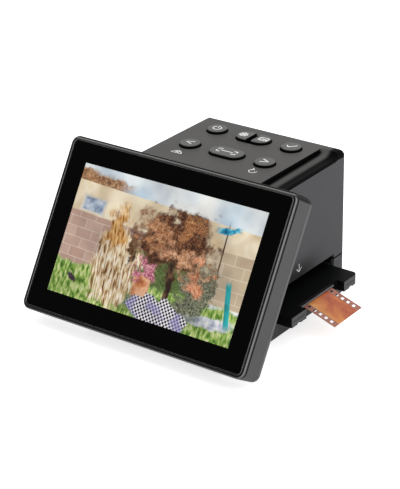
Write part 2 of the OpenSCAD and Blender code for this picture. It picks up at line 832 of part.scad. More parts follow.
module rubber_feet() color("#1c1c1c") in_place() {
    at_feet(0) cylinder(r = foot_r - seat_gap, h = foot_h + foot_sink);
}

module case_screws() color("#8d8f92") in_place() {
    at_columns(seat_z) screw(case_screw_r, case_screw_len, case_head_r, head_h);
}

// Opening that lets the light through, a little larger than the picture window
module light_window(z0, z1) {
    half_w = window_w / 2 + window_gap;
    half_d = window_h / 2 + window_gap;
    box(opt_x - half_w, opt_x + half_w, opt_y - half_d, opt_y + half_d, z0, z1);
}

module guide_wall(y0, y1) box(guide_x0, guide_x1, y0, y1, guide_z, guide_top_z);

module tray_guide() color("#2b2b2d") in_place() {
    lip_z = tray_top_z + lip_gap;
    difference() {
        union() {
            box(guide_x0, guide_x1, guide_y0, guide_y1, guide_z, slot_z);
            guide_wall(guide_y0, slot_y0);
            guide_wall(slot_y1, guide_y1);
            box(guide_x0, guide_x1, slot_y0 - eps, tray_y0 + guide_lip, lip_z, lip_z + guide_lip_t);
            box(guide_x0, guide_x1, tray_y1 - guide_lip, slot_y1 + eps, lip_z, lip_z + guide_lip_t);
            for (y = [slot_y0, tray_y1 - guide_lip])
                box(guide_x0, tray_x0 - fit_gap, y, y + guide_lip + slot_side, guide_z, lip_z + eps);
            at_ears(guide_z) cylinder(r = post_r, h = guide_t);
            for (x = ear_xs) {
                box(x - post_r, x + post_r, ear_ys[0], guide_y0 + eps, guide_z, slot_z);
                box(x - post_r, x + post_r, guide_y1 - eps, ear_ys[1], guide_z, slot_z);
            }
        }
        at_ears(guide_z - over) cylinder(r = small_screw_r + hole_gap, h = guide_t + 2 * over, $fn = 24);
        light_window(guide_z - over, slot_z + over);
    }
}

// Leaf springs that steady the tray from its two sides
module side_springs() color("#b9bcc0") in_place() {
    half = spring_len / 2;
    tip_y = slot_side - fit_gap;
    for (side = [0, 1]) translate([opt_x, side == 0 ? slot_y0 : slot_y1, film_z - spring_w / 2])
        mirror([0, side, 0]) {
            box(-half, half, 0, spring_t, 0, spring_w);
            intersection() {
                translate([0, tip_y - spring_r, 0]) cylinder(r = spring_r, h = spring_w);
                box(-half, half, spring_t - eps, tip_y + over, 0, spring_w);
            }
        }
}

module optics_bridge() color("#29292b") in_place() {
    difference() {
        box(opt_x - bridge_w / 2, opt_x + bridge_w / 2, guide_y0, guide_y1, guide_top_z, bridge_z1);
        light_window(guide_top_z - over, bridge_z1 + over);
    }
}

module light_hood() color("#161617") in_place() {
    translate([opt_x, opt_y, bridge_z1]) linear_extrude(hood_h) difference() {
        centred_rect(hood_w, hood_d, 2);
        centred_rect(hood_w - 2 * hood_wall, hood_d - 2 * hood_wall, 1);
    }
}

module lens_holder() color("#1a1a1b") in_place() {
    translate([opt_x, opt_y, holder_z]) difference() {
        union() {
            linear_extrude(holder_t) centred_rect(hood_w, hood_d, 2);
            cylinder(r = collar_r, h = holder_t + collar_h);
            translate([-sensor_screw_x, -post_r, 0])
                cube([2 * sensor_screw_x, 2 * post_r, holder_t + collar_h]);
            for (x = [-1, 1]) translate([x * sensor_screw_x, 0, 0])
                cylinder(r = post_r, h = holder_t + collar_h, $fn = 32);
        }
        translate([0, 0, -over]) cylinder(r = lens_r + lens_fit, h = holder_t + collar_h + 2 * over);
        for (x = [-1, 1]) translate([x * sensor_screw_x, 0, holder_t + collar_h - small_screw_len])
            cylinder(r = small_screw_r + screw_gap, h = small_screw_len + over, $fn = 24);
    }
}

module lens_barrel() color("#0f0f10") in_place() {
    translate([opt_x, opt_y, lens_z0]) rotate_extrude() difference() {
        square([lens_r, lens_len]);
        translate([-over, -over]) square([lens_r - lens_wall + over, lens_len + 2 * over]);
    }
}

// Two glasses: a plano-convex front one and a plain rear one
module lens_glasses() color("#bcd3dc") in_place() {
    r = lens_r - lens_wall - lens_fit;
    cap_r = 1.5 * r;
    edge_h = 1.5;
    inset = 2;
    sagitta_z = edge_h - sqrt(cap_r * cap_r - r * r);
    translate([opt_x, opt_y, lens_z0 + inset]) {
        cylinder(r = r, h = edge_h);
        intersection() {
            translate([0, 0, sagitta_z]) sphere(cap_r);
            translate([0, 0, edge_h - eps]) cylinder(r = r, h = cap_r);
        }
    }
    translate([opt_x, opt_y, lens_z0 + lens_len - inset - edge_h]) cylinder(r = r, h = edge_h);
}

module image_sensor() color("#394a44") in_place() {
    translate([opt_x - sensor_w / 2, opt_y - sensor_w / 2, sensor_board_z - sensor_t])
        cube([sensor_w, sensor_w, sensor_t]);
}

module sensor_board() color("#1f5a3a") in_place() {
    translate([opt_x, opt_y, sensor_board_z]) linear_extrude(board_t) difference() {
        centred_rect(sensor_board_w, sensor_board_d, 1);
        for (x = [-1, 1]) translate([x * sensor_screw_x, 0]) circle(small_screw_r + hole_gap, $fn = 24);
    }
}

module sensor_ribbon() color("#c8b27a") in_place() {
    y = opt_y - sensor_board_d / 2 + board_inset;
    box(opt_x - sensor_ribbon_w / 2, opt_x + sensor_ribbon_w / 2, y, y + ribbon_t,
        sensor_board_z + board_t, board_z);
}

module backlight_board() color("#e6e6e2") in_place() {
    translate([opt_x, opt_y, light_board_z]) linear_extrude(board_t) difference() {
        centred_rect(light_board_w, light_board_d, 1);
        for (x = [-light_post_x, light_post_x]) for (y = [-light_post_y, light_post_y])
            translate([x, y]) circle(small_screw_r + hole_gap, $fn = 24);
    }
}

module backlight_leds() color("#f2e7a6") in_place() {
    for (i = [-1.5:1:1.5]) for (j = [-1:1:1])
        translate([opt_x + i * led_pitch - led_w / 2, opt_y + j * led_pitch - led_w / 2, light_z])
            cube([led_w, led_w, led_h]);
}

module light_reflector() color("#f4f4f1") in_place() {
    translate([opt_x, opt_y, light_z]) linear_extrude(diffuser_z - light_z) difference() {
        centred_rect(reflector_w, reflector_d, 2);
        centred_rect(reflector_w - 2 * reflector_t, reflector_d - 2 * reflector_t, 1);
    }
}

module light_diffuser() color("#fbfbf8") in_place() {
    translate([opt_x, opt_y, diffuser_z]) linear_extrude(diffuser_t) centred_rect(reflector_w, reflector_d, 2);
}

module main_board() color("#1f5a3a") in_place() {
    translate([0, 0, board_z]) linear_extrude(board_t) difference() {
        soft_rect(-board_w / 2, board_y0, board_w / 2, board_y1, [1, 1, 1, 1]);
        for (x = [-board_post_x, board_post_x]) for (y = board_post_ys)
            translate([x, y]) circle(small_screw_r + hole_gap, $fn = 24);
    }
}

module push_switches() color("#2a2a2c") in_place() {
    for (b = buttons) translate([b[0] + stem_x(b[2]), b[1], board_z1]) {
        translate([-switch_w / 2, -switch_w / 2, 0]) cube([switch_w, switch_w, switch_h]);
        cylinder(r = plunger_r, h = switch_h + plunger_h);
    }
}

// Chips under a board: each row has a place as shares of the board's width and depth, and a width, a
// depth and a height as shares of the processor's
module chips_under(w, d, z, rows) {
    for (c = rows) translate([c[0] * w, c[1] * d, z - c[4] * chip_h])
        cube([c[2] * chip_w, c[3] * chip_w, c[4] * chip_h]);
}

// The processor, its memory and the power parts
module processor_chips() color("#1b1b1d") in_place() translate([0, board_y0, 0])
    chips_under(board_w, board_d, board_z,
        [[-0.24, 0.18, 1, 1, 1], [-0.08, 0.21, 0.7, 0.9, 0.8], [-0.41, 0.65, 0.5, 0.5, 1.8],
            [0.37, 0.24, 0.6, 0.45, 1.2]]);

// Socket below the back edge of the main board: a shell with an open mouth and a tongue in it
module socket(x, w, r, core_h) {
    mouth_w = w - 2 * socket_wall;
    core_w = mouth_w - 4 * socket_wall;
    core_sink = 2 * socket_wall;
    mouth_r = max(r - socket_wall, 0.1);
    translate([x, -socket_sink, board_z - socket_h / 2]) rotate([90, 0, 0]) {
        difference() {
            linear_extrude(socket_d) centred_rect(w, socket_h, r);
            translate([0, 0, -over]) linear_extrude(socket_d - socket_back + over)
                centred_rect(mouth_w, socket_h - 2 * socket_wall, mouth_r);
        }
        translate([0, 0, core_sink]) linear_extrude(socket_d - socket_back - core_sink + eps)
            centred_rect(core_w, core_h, core_h / 4);
    }
}

module usb_socket() color("#a9acb0") in_place() socket(usb_x, usb_w, 1.5, 0.7);
module video_socket() color("#a9acb0") in_place() socket(hdmi_x, hdmi_w, 0.6, 0.7);
module card_slot() color("#a9acb0") in_place() socket(card_x, card_w, 0.5, 0.4);

// Every small screw inside the case
module inner_screws() color("#c3c6ca") {
    in_place() {
        at_ears(slot_z) rotate([180, 0, 0]) small_screw();
        at_light_posts(light_z) rotate([180, 0, 0]) small_screw();
        at_board_posts(board_z) small_screw();
        for (x = [-1, 1])
            translate([opt_x + x * sensor_screw_x, opt_y, sensor_board_z + board_t])
                rotate([180, 0, 0]) small_screw();
    }
    on_slope() for (x = [-hinge_x, hinge_x]) for (y = leaf_screw_ys)
        translate([x, y, -wall - leaf_t])
            screw(small_screw_r, leaf_t + wall - leaf_skin - screw_gap, small_head_r, small_head_h);
}

// Steel hinge leaves inside the case, with arms out to the knuckles
module hinge_brackets() color("#6e7073") on_slope() {
    y = -display_drop - hinge_r;
    z = display_gap + hinge_r;
    for (x = [-hinge_x, hinge_x]) difference() {
        union() {
            box(x - knuckle_w / 2, x + knuckle_w / 2, y - leaf_t / 2, y + leaf_t / 2, -wall - leaf_t, z);
            box(x - knuckle_w / 2, x + knuckle_w / 2, y - leaf_len, y + leaf_t / 2, -wall - leaf_t, -wall);
            translate([x - knuckle_w / 2, y, z]) rotate([0, 90, 0]) cylinder(r = knuckle_r, h = knuckle_w);
        }
        translate([x - knuckle_w / 2 - over, y, z]) rotate([0, 90, 0])
            cylinder(r = pin_r + pin_clear, h = knuckle_w + 2 * over);
        for (sy = leaf_screw_ys) translate([x, sy, -wall - leaf_t - over])
            cylinder(r = small_screw_r + hole_gap, h = leaf_t + 2 * over, $fn = 24);
    }
}

module hinge_pins() color("#b4b7bb") on_slope() {
    half = knuckle_w / 2 + knuckle_gap + barrel_w - pin_sink;
    for (x = [-hinge_x, hinge_x])
        translate([x - half, -display_drop - hinge_r, display_gap + hinge_r]) rotate([0, 90, 0])
            cylinder(r = pin_r, h = 2 * half);
}

// Flat cable from the main board to the hinge axis
module case_ribbon() color("#c8b27a") on_slope() {
    y = -display_drop - hinge_r;
    tail = wall + deck_t + panel_t + 2.5;
    end_z = display_gap + hinge_r - fit_gap;
    box(-ribbon_w / 2, ribbon_w / 2, y - ribbon_t / 2, y + ribbon_t / 2, -tail, end_z);
}

module display_bumpers() color("#1c1c1c") on_slope() {
    at_bumpers() cylinder(r = bumper_r - seat_gap, h = bumper_t);
}

// Sweeps a 2D profile around a rounded rectangle; its x = 0 is the outline, minus is inwards
module around(w, h, r) {
    for (c = [[1, 1, 0], [-1, 1, 90], [-1, -1, 180], [1, -1, 270]])
        translate([c[0] * (w / 2 - r), c[1] * (h / 2 - r), 0]) rotate([0, 0, c[2]])
            rotate_extrude(angle = 90) translate([r, 0]) children();
    for (s = [[w / 2, h - 2 * r, 0], [h / 2, w - 2 * r, 90], [w / 2, h - 2 * r, 180], [h / 2, w - 2 * r, 270]])
        rotate([0, 0, s[2]]) translate([s[0], s[1] / 2, 0]) rotate([90, 0, 0]) linear_extrude(s[1]) children();
}

module display_rim() color("#3f4042") in_display() {
    inner_r = 0.4;
    translate([0, 0, rim_z]) {
        around(display_w, display_h, display_r) soft_rect(-rim_w + glass_gap, 0, 0, rim_d, [0, 0, rim_r, inner_r]);
        linear_extrude(glass_z - rim_z) difference() {
            centred_rect(display_w - rim_w, display_h - rim_w, display_r - rim_w / 2);
            centred_rect(glass_w - 2 * glass_ledge, glass_h - 2 * glass_ledge, 1);
        }
    }
}

module hinge_barrels(r) {
    for (x = [-hinge_x, hinge_x]) for (side = [-1, 1]) {
        start = side < 0 ? -knuckle_w / 2 - knuckle_gap - barrel_w : knuckle_w / 2 + knuckle_gap;
        translate([x + start, axis_y, axis_z]) rotate([0, 90, 0]) cylinder(r = r, h = barrel_w);
    }
}

module at_cover_screws(z) {
    for (x = [-cover_screw_x, 0, cover_screw_x]) for (y = [-cover_screw_y, cover_screw_y])
        if (x != 0 || y < 0) translate([x, y, z]) children();
}

module at_display_posts(z) {
    for (x = [-1, 1]) for (y = [-1, 1])
        translate([x * display_post_x, y * display_post_y, z]) children();
}

module display_housing() color("#5f5f61") in_display() {
    web_half = notch_half - hinge_clear;
    inner_w = display_w - 2 * display_wall;
    inner_h = display_h - 2 * display_wall;
    top_y = display_h / 2;
    hole_half = ribbon_w / 2 + 2;
    difference() {
        union() {
            translate([0, 0, housing_z]) linear_extrude(rim_z - groove - housing_z) difference() {
                centred_rect(display_w, display_h, display_r);
                centred_rect(inner_w, inner_h, display_r - display_wall);
            }
            translate([0, 0, rim_z - groove]) linear_extrude(groove) difference() {
                centred_rect(display_w - 2 * groove, display_h - 2 * groove, display_r - groove);
                centred_rect(inner_w, inner_h, display_r - display_wall);
            }
            translate([0, 0, midplate_z]) linear_extrude(midplate_t)
                centred_rect(display_w - display_wall, display_h - display_wall, display_r - display_wall / 2);
            hinge_barrels(hinge_r);
            for (x = [-hinge_x, hinge_x]) {
                box(x - web_half, x + web_half, axis_y, top_y, axis_z, housing_z + over);
                box(x - web_half, x + web_half, axis_y - hinge_r, top_y - over, axis_z, axis_z + hinge_r);
            }
            at_cover_screws(boss_z) cylinder(r = post_r, h = midplate_z - boss_z + eps);
            at_display_posts(display_board_z1) cylinder(r = post_r, h = post_h + eps);
        }
        for (x = [-hinge_x, hinge_x])
            translate([x - knuckle_w / 2 - knuckle_gap, axis_y, axis_z]) rotate([0, 90, 0])
                cylinder(r = hinge_r + hinge_clear, h = knuckle_w + 2 * knuckle_gap);
        for (x = [-hinge_x, hinge_x]) translate([x - notch_half, axis_y, axis_z]) rotate([0, 90, 0])
            cylinder(r = pin_r + pin_clear, h = 2 * notch_half);
        at_cover_screws(housing_z) cylinder(r = small_screw_r + screw_gap, h = small_screw_len, $fn = 24);
        at_display_posts(display_board_z1 - over)
            cylinder(r = small_screw_r + screw_gap, h = post_h + midplate_t + over - leaf_skin, $fn = 24);
        box(-hole_half, hole_half, -hole_half, hole_half, midplate_z - over, midplate_z + midplate_t + over);
    }
}

// Back cover: a rounded edge, a flat back with sunk screws, and notches for the hinges and cable
module display_back() color("#4b4c4e") in_display() {
    boss_h = boss_z - display_wall;
    head_z = small_head_h + small_head_sink;
    difference() {
        union() {
            around(display_w, display_h, display_r) soft_rect(-display_wall, 0, 0, cover_d, [0, cover_r, 0, 0]);
            linear_extrude(display_wall)
                centred_rect(display_w - 2 * cover_r, display_h - 2 * cover_r, display_r - cover_r);
            at_cover_screws(display_wall - eps) cylinder(r = post_r, h = boss_h + eps);
        }
        translate([-display_w / 2, 0, 0]) rotate([90, 0, 90]) linear_extrude(display_w) difference() {
            translate([display_h / 2 - hinge_r, -over]) square([hinge_r + over, hinge_r + over]);
            translate([axis_y, axis_z]) circle(hinge_r);
        }
        for (x = [-hinge_x, hinge_x])
            box(x - notch_half, x + notch_half, axis_y - hinge_r - hinge_clear, display_h, -over, display_t);
        box(-ribbon_notch, ribbon_notch, axis_y - hinge_r - hinge_clear, display_h, -over, display_t);
        at_cover_screws(-over) cylinder(r = small_head_r + head_gap, h = head_z + over);
        at_cover_screws(0) cylinder(r = small_screw_r + hole_gap, h = boss_z + over, $fn = 24);
        vents();
    }
}

// Row of vent slots low in the back cover
module vents() {
    vent_w = 6;
    vent_h = 1.6;
    vent_pitch = 9;
    vent_y = -display_h / 2 + bumper_dy + 2;
    for (i = [-4.5:4.5]) translate([i * vent_pitch, vent_y, -over])
        linear_extrude(display_wall + 2 * over) centred_rect(vent_w, vent_h, vent_h / 2 - eps);
}

module cover_glass() color("#0c0c0e") in_display() {
    translate([0, 0, glass_z]) linear_extrude(glass_t) centred_rect(glass_w, glass_h, glass_r);
}

module picture_panel() color("#7c8f9c") in_display() {
    translate([0, 0, lcd_z]) linear_extrude(lcd_t) centred_rect(lcd_w, lcd_h, 0.5);
}

module panel_lamp_unit() color("#d8dadc") in_display() {
    translate([0, 0, lamp_z]) linear_extrude(lamp_unit_t) centred_rect(lcd_w, lcd_h, 0.5);
}

module display_board() color("#1f5a3a") in_display() {
    translate([0, 0, display_board_z]) linear_extrude(board_t) difference() {
        centred_rect(display_board_w, display_board_h, 1);
        for (x = [-1, 1]) for (y = [-1, 1])
            translate([x * display_post_x, y * display_post_y])
                circle(small_screw_r + hole_gap, $fn = 24);
    }
}

module display_chips() color("#1b1b1d") in_display()
    chips_under(display_board_w, display_board_h, display_board_z,
        [[-0.35, -0.14, 0.9, 0.9, 1], [0.12, -0.24, 0.6, 0.6, 0.8], [0.28, 0.07, 0.75, 0.45, 1.3]]);

// Small screws of the display: through the back cover, and under its board
module display_screws() color("#8d8f92") in_display() {
    at_cover_screws(small_head_h + small_head_sink)
        screw(small_screw_r, housing_z + 2, small_head_r, small_head_h);
    at_display_posts(display_board_z) small_screw();
}

// Flat cable from the hinge axis down to the display's board
module display_ribbon() color("#c8b27a") in_display() {
    y0 = axis_y - 2 * fit_gap;
    y1 = display_board_h / 2 - board_inset;
    bend_y = axis_y - 2 * hinge_r;
    end_z = display_board_z - seat_gap;
    translate([-ribbon_w / 2, 0, 0]) rotate([90, 0, 90]) linear_extrude(ribbon_w)
        polygon([[y0, axis_z + 0.4], [bend_y, axis_z + 0.8], [y1, end_z - ribbon_t], [y1, end_z],
            [bend_y, axis_z + 0.8 + ribbon_t], [y0, axis_z + 0.4 + ribbon_t]]);
}

// Outline of the tray with its finger notch
module tray_outline() {
    difference() {
        soft_rect(tray_x0, tray_y0, tray_x1, tray_y1, [1, tray_front_r, tray_r, 1]);
        soft_rect(gate_x, tray_yc - notch_w / 2, tray_x1 + over, tray_yc + notch_w / 2, [1, 0, 0, 1]);
        translate([opt_x, opt_y]) centred_rect(window_w, window_h, 0.5);
    }
}

module film_channel() {
    half = film_w / 2 + channel_side;
    box(tray_x0 - over, tray_x1, tray_yc - half, tray_yc + half, film_z - channel_h / 2,
        film_z + channel_h / 2);
}

// Seats of the magnets that keep the cover shut
module at_magnets(z) {
    for (x = [tray_x0 + magnet_back, gate_x - magnet_front])
        for (y = [tray_y0 + magnet_dy, tray_y1 - magnet_dy]) translate([x, y, z]) children();
}

// Shallow notches in the middle of the tray's two end faces
module end_notches(depth, width, z0, z1) {
    for (y = [(tray_y0 + tray_yc - notch_w / 2) / 2, (tray_y1 + tray_yc + notch_w / 2) / 2])
        box(tray_x1 - depth, tray_x1 + over, y - width / 2, y + width / 2, z0, z1);
}

module film_tray() color("#333335") in_place() {
    difference() {
        translate([0, 0, tray_z]) linear_extrude(tray_t / 2) tray_outline();
        film_channel();
        at_magnets(film_z - magnet_t) cylinder(r = magnet_r + seat_gap, h = magnet_t + over);
        end_notches(tray_notch_d, tray_notch_w, tray_z - over, tray_z + 0.8);
    }
}

module tray_cover() color("#2a2a2c") in_place() {
    difference() {
        translate([0, 0, film_z]) linear_extrude(tray_t / 2) tray_outline();
        film_channel();
        film_gate_solid();
        end_notches(tray_notch_d / 2, cover_notch_w, film_z - over, film_z + 0.4);
    }
}

module film_gate_solid() {
    z = film_z + channel_h / 2;
    box(gate_x - gate_len, gate_x + gate_out, tray_yc - gate_w / 2, tray_yc + gate_w / 2, z, z + gate_t);
}

module film_gate() color("#a8abae") in_place() film_gate_solid();

module tray_magnets() color("#c9ccd0") in_place() {
    at_magnets(film_z - magnet_t) cylinder(r = magnet_r, h = magnet_t);
}

// Point of the film at a distance along it, counted from the gate outwards
function film_at(s) = s <= 0 ? [gate_x + s, film_z, 0]
    : s <= bend_len ? let (a = s / film_bend_r * 180 / PI)
        [gate_x + film_bend_r * sin(a), film_z - film_bend_r * (1 - cos(a)), a]
    : [gate_x + bend_dx + (s - bend_len) * cos(film_droop),
        film_z - bend_dz - (s - bend_len) * sin(film_droop), film_droop];
function film_side(s, d) = let (p = film_at(s)) [p[0] + d * sin(p[2]), p[1] + d * cos(p[2])];

module film_strip() color("#a5582f") in_place() {
    start = film_out - film_len;
    bend_steps = 6;
    stations = concat([start], [for (i = [0:bend_steps]) bend_len * i / bend_steps], [film_out]);
    count = floor((film_len - 2 * perf_start) / perf_pitch) + 1;
    difference() {
        translate([0, tray_yc + film_w / 2, 0]) rotate([90, 0, 0]) linear_extrude(film_w)
            polygon(concat([for (s = stations) film_side(s, film_t / 2)],
                [for (i = [len(stations) - 1:-1:0]) film_side(stations[i], -film_t / 2)]));
        for (i = [0:count - 1]) for (side = [-1, 1]) {
            s = film_out - perf_start - i * perf_pitch;
            p = film_at(s);
            translate([p[0], tray_yc + side * (film_w / 2 - perf_edge - perf_w / 2), p[1]])
                rotate([0, p[2], 0]) cube([perf_l, perf_w, 4 * film_t], center = true);
        }
    }
}

// Profile of a cap's edge, from its middle to its side
module cap_profile(r) soft_rect(0, 0, r, button_h, [0, 0, button_edge_r, 0]);

module round_cap() rotate_extrude() cap_profile(button_d / 2);

module pill_cap() {
    run = pill_len - button_d;
    r = button_d / 2;
    for (side = [-1, 1]) translate([side * run / 2, 0, 0]) round_cap();
    translate([-run / 2, 0, 0]) rotate([90, 0, 90]) linear_extrude(run)
        soft_rect(-r, 0, r, button_h, [0, 0, button_edge_r, button_edge_r]);
}

// A button at its place: cap, flange under the panel, and stem
module button(b) in_place() translate([b[0], b[1], 0]) {
    kind = b[2];
    translate([0, 0, flange_z1]) {
        if (kind == "round") round_cap();
        else if (kind == "pill") pill_cap();
        else intersection() {
            pill_cap();
            translate([0, 0, -over]) linear_extrude(button_h + 2 * over) button_outline(kind, 0);
        }
    }
    translate([0, 0, flange_z]) linear_extrude(flange_t + eps) intersection() {
        button_outline(kind == "round" ? "round" : "pill", flange_w);
        if (kind == "left") translate([-pill_len, -pill_len]) square([pill_len - split_gap / 2, 2 * pill_len]);
        else if (kind == "right") translate([split_gap / 2, -pill_len]) square([pill_len, 2 * pill_len]);
        else square(2 * pill_len, center = true);
    }
    translate([stem_x(kind), 0, stem_z]) cylinder(d = stem_d, h = flange_z - stem_z + eps);
}

module power_button() color("#3a3a3c") button(buttons[0]);
module menu_button() color("#3a3a3c") button(buttons[1]);
module gallery_button() color("#3a3a3c") button(buttons[2]);
module ok_button() color("#3a3a3c") button(buttons[3]);
module previous_button() color("#3a3a3c") button(buttons[4]);
module scan_button() color("#3a3a3c") button(buttons[5]);
module next_button() color("#3a3a3c") button(buttons[6]);

upper_housing();
base_housing();
control_panel();
rubber_feet();
case_screws();
tray_guide();
side_springs();
optics_bridge();
light_hood();
lens_holder();
lens_barrel();
lens_glasses();
image_sensor();
sensor_board();
sensor_ribbon();
backlight_board();
backlight_leds();
light_reflector();
light_diffuser();
main_board();
push_switches();
processor_chips();
usb_socket();
video_socket();
card_slot();
inner_screws();
hinge_brackets();
hinge_pins();
case_ribbon();
display_bumpers();
display_rim();
display_housing();
display_back();
cover_glass();
picture_panel();
panel_lamp_unit();
display_board();
display_chips();
display_screws();
display_ribbon();
film_tray();
tray_cover();
film_gate();
tray_magnets();
film_strip();
power_button();
menu_button();
gallery_button();
ok_button();
previous_button();
scan_button();
next_button();
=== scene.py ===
import math

import bmesh
import bpy
from mathutils import Matrix, Vector


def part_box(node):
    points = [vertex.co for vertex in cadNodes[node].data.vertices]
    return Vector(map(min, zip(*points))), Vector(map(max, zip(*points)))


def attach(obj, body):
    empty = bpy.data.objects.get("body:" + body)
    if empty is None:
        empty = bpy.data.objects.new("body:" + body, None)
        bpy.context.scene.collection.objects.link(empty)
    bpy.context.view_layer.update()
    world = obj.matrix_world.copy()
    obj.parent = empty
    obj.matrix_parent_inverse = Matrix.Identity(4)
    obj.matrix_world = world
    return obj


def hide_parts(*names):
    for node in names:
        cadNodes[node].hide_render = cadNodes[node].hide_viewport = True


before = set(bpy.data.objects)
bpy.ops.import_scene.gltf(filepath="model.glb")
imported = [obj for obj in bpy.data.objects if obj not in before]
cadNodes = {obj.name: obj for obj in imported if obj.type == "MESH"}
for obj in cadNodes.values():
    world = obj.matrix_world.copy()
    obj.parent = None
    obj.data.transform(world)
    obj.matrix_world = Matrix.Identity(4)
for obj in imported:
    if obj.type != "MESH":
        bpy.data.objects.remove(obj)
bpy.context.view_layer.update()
print("frame loaded:", len(cadNodes), "pieces")

toX, toY, toZ = Vector((1, 0, 0)), Vector((0, 1, 0)), Vector((0, 0, 1))


def linearColour(hexColour):
    # sRGB hex to the linear colour that the shaders take
    channels = [int(hexColour[i:i + 2], 16) / 255 for i in (1, 3, 5)]
    return tuple(c / 12.92 if c <= 0.04045 else ((c + 0.055) / 1.055) ** 2.4 for c in channels) + (1.0,)


def addNode(tree, kind, settings=None, links=None):
    # adds a node: a setting names a property or a socket, and a link names the socket that it feeds, from
    # another node's socket or, where a node is given, from its first one
    node = tree.nodes.new(kind)
    for name, value in (settings or {}).items():
        if isinstance(name, str) and hasattr(node, name):
            setattr(node, name, value)
        else:
            node.inputs[name].default_value = value
    for name, source in (links or {}).items():
        socket = source if isinstance(source, bpy.types.NodeSocket) else source.outputs[0]
        tree.links.new(socket, node.inputs[name])
    return node


def newMaterial(name, settings):
    material = bpy.data.materials.new(name)
    material.use_nodes = True
    material.node_tree.nodes.clear()
    shader = addNode(material.node_tree, "ShaderNodeBsdfPrincipled", settings)
    addNode(material.node_tree, "ShaderNodeOutputMaterial", None, {"Surface": shader})
    return material, material.node_tree, shader


def setRamp(ramp, colours):
    # spreads hex colours, written with spaces between them, evenly over a colour ramp
    stops = ramp.color_ramp.elements
    colours = colours.split()
    while len(stops) < len(colours):
        stops.new(0.5)
    for index, colour in enumerate(colours):
        stops[index].position = index / (len(colours) - 1)
        stops[index].color = linearColour(colour)


def tintLayer(tree, place, below, colour, windows):
    # lays a colour over the one below wherever every window is open; a window reads how far a point lies, or
    # how much its face turns, along a direction, and opens softly from its first value to its second
    mask = None
    for source, direction, start, end in windows:
        along = addNode(tree, "ShaderNodeVectorMath", {"operation": "DOT_PRODUCT", 1: direction},
                        {0: place.outputs[source]})
        window = addNode(tree, "ShaderNodeMapRange",
                         {"interpolation_type": "SMOOTHSTEP", "From Min": start, "From Max": end},
                         {"Value": along.outputs["Value"]})
        if mask:
            window = addNode(tree, "ShaderNodeMath", {"operation": "MULTIPLY"}, {0: mask, 1: window})
        mask = window
    laid = addNode(tree, "ShaderNodeMix", {"data_type": "RGBA", 7: linearColour(colour)}, {0: mask, 6: below})
    return laid.outputs[2]


def surfaceMaterial(name, look):
    # a surface with fine grain, broad mottling and slightly uneven gloss, from real sizes in millimetres
    look = {**plainLook, **look}
    material, tree, shader = newMaterial(name, {"Roughness": look["roughness"], "Metallic": look["metallic"],
                                                "Specular IOR Level": look["specular"]})
    place = addNode(tree, "ShaderNodeTexCoord")
    along = addNode(tree, "ShaderNodeMapping", {"Scale": look["stretch"]},
                    {"Vector": place.outputs["Object"]})
    mottle = addNode(tree, "ShaderNodeTexNoise", {"Scale": 1000 / look["mottleMm"], "Detail": 3.0},
                     {"Vector": along})
    shades = addNode(tree, "ShaderNodeValToRGB", None, {"Fac": mottle})
    setRamp(shades, look["colours"])
    colour = shades.outputs["Color"]
    # the tints paint light and shade over the colour: painted shadows, shade and highlights
    for tint, windows in look["tints"]:
        colour = tintLayer(tree, place, colour, tint, windows)
    tree.links.new(colour, shader.inputs["Base Color"])
    gloss = addNode(tree, "ShaderNodeMapRange", {"To Min": look["roughness"] - look["roughnessSpread"],
                                                 "To Max": look["roughness"] + look["roughnessSpread"]},
                    {"Value": mottle})
    tree.links.new(gloss.outputs["Result"], shader.inputs["Roughness"])
    grain = addNode(tree, "ShaderNodeTexNoise",
                    {"Scale": 1000 / look["grainMm"], "Detail": 2.0, "Roughness": 0.6}, {"Vector": along})
    relief = addNode(tree, "ShaderNodeBump", {"Strength": look["relief"], "Distance": look["grainMm"] / 4000},
                     {"Height": grain})
    if look["edgeMm"]:
        rounding = addNode(tree, "ShaderNodeBevel", {"samples": 6, "Radius": look["edgeMm"] / 1000})
        tree.links.new(rounding.outputs["Normal"], relief.inputs["Normal"])
    tree.links.new(relief.outputs["Normal"], shader.inputs["Normal"])
    return material


def facePlane(node, facing):
    # the plane of a node's largest flat face that looks roughly along facing: Z out of it, X to the right
    mesh = cadNodes[node].data
    areas = {}
    for polygon in mesh.polygons:
        if polygon.normal.dot(facing) > 0.7:
            key = tuple(round(v, 2) for v in polygon.normal)
            areas[key] = areas.get(key, 0) + polygon.area
    rough = Vector(max(areas, key=areas.get)).normalized()
    flat = [polygon for polygon in mesh.polygons if polygon.normal.dot(rough) > 0.999]
    normal = sum((polygon.normal * polygon.area for polygon in flat), Vector()).normalized()
    corners = [mesh.vertices[i].co for polygon in flat if polygon.normal.dot(rough) > 0.9995
               for i in polygon.vertices]
    middleX = (min(c.x for c in corners) + max(c.x for c in corners)) / 2
    up = normal.cross(toX).normalized()
    ups = [c.dot(up) for c in corners]
    plane = Matrix((toX, up, normal)).transposed().to_4x4()
    plane.translation = (toX * middleX + up * (min(ups) + max(ups)) / 2
                         + normal * max(c.dot(normal) for c in corners))
    return plane


# The display's plane, and where things lie on it and on the case, for the painted light and shade below
displayFacing = Vector((0, -0.85, 0.5))
glassPlane = facePlane("cover_glass", displayFacing)
glassUp, glassOut = glassPlane.col[1].to_3d(), glassPlane.col[2].to_3d()
glassUps = [Vector(v.co).dot(glassUp) for v in cadNodes["cover_glass"].data.vertices]
glassTop = max(glassUps)
rimBack = min(Vector(v.co).dot(glassOut) for v in cadNodes["display_rim"].data.vertices)
deckLow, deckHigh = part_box("control_panel")
deckEdge = deckHigh.x
trayLow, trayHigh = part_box("film_tray")
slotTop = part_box("optics_bridge")[0].z
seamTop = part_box("upper_housing")[0].z
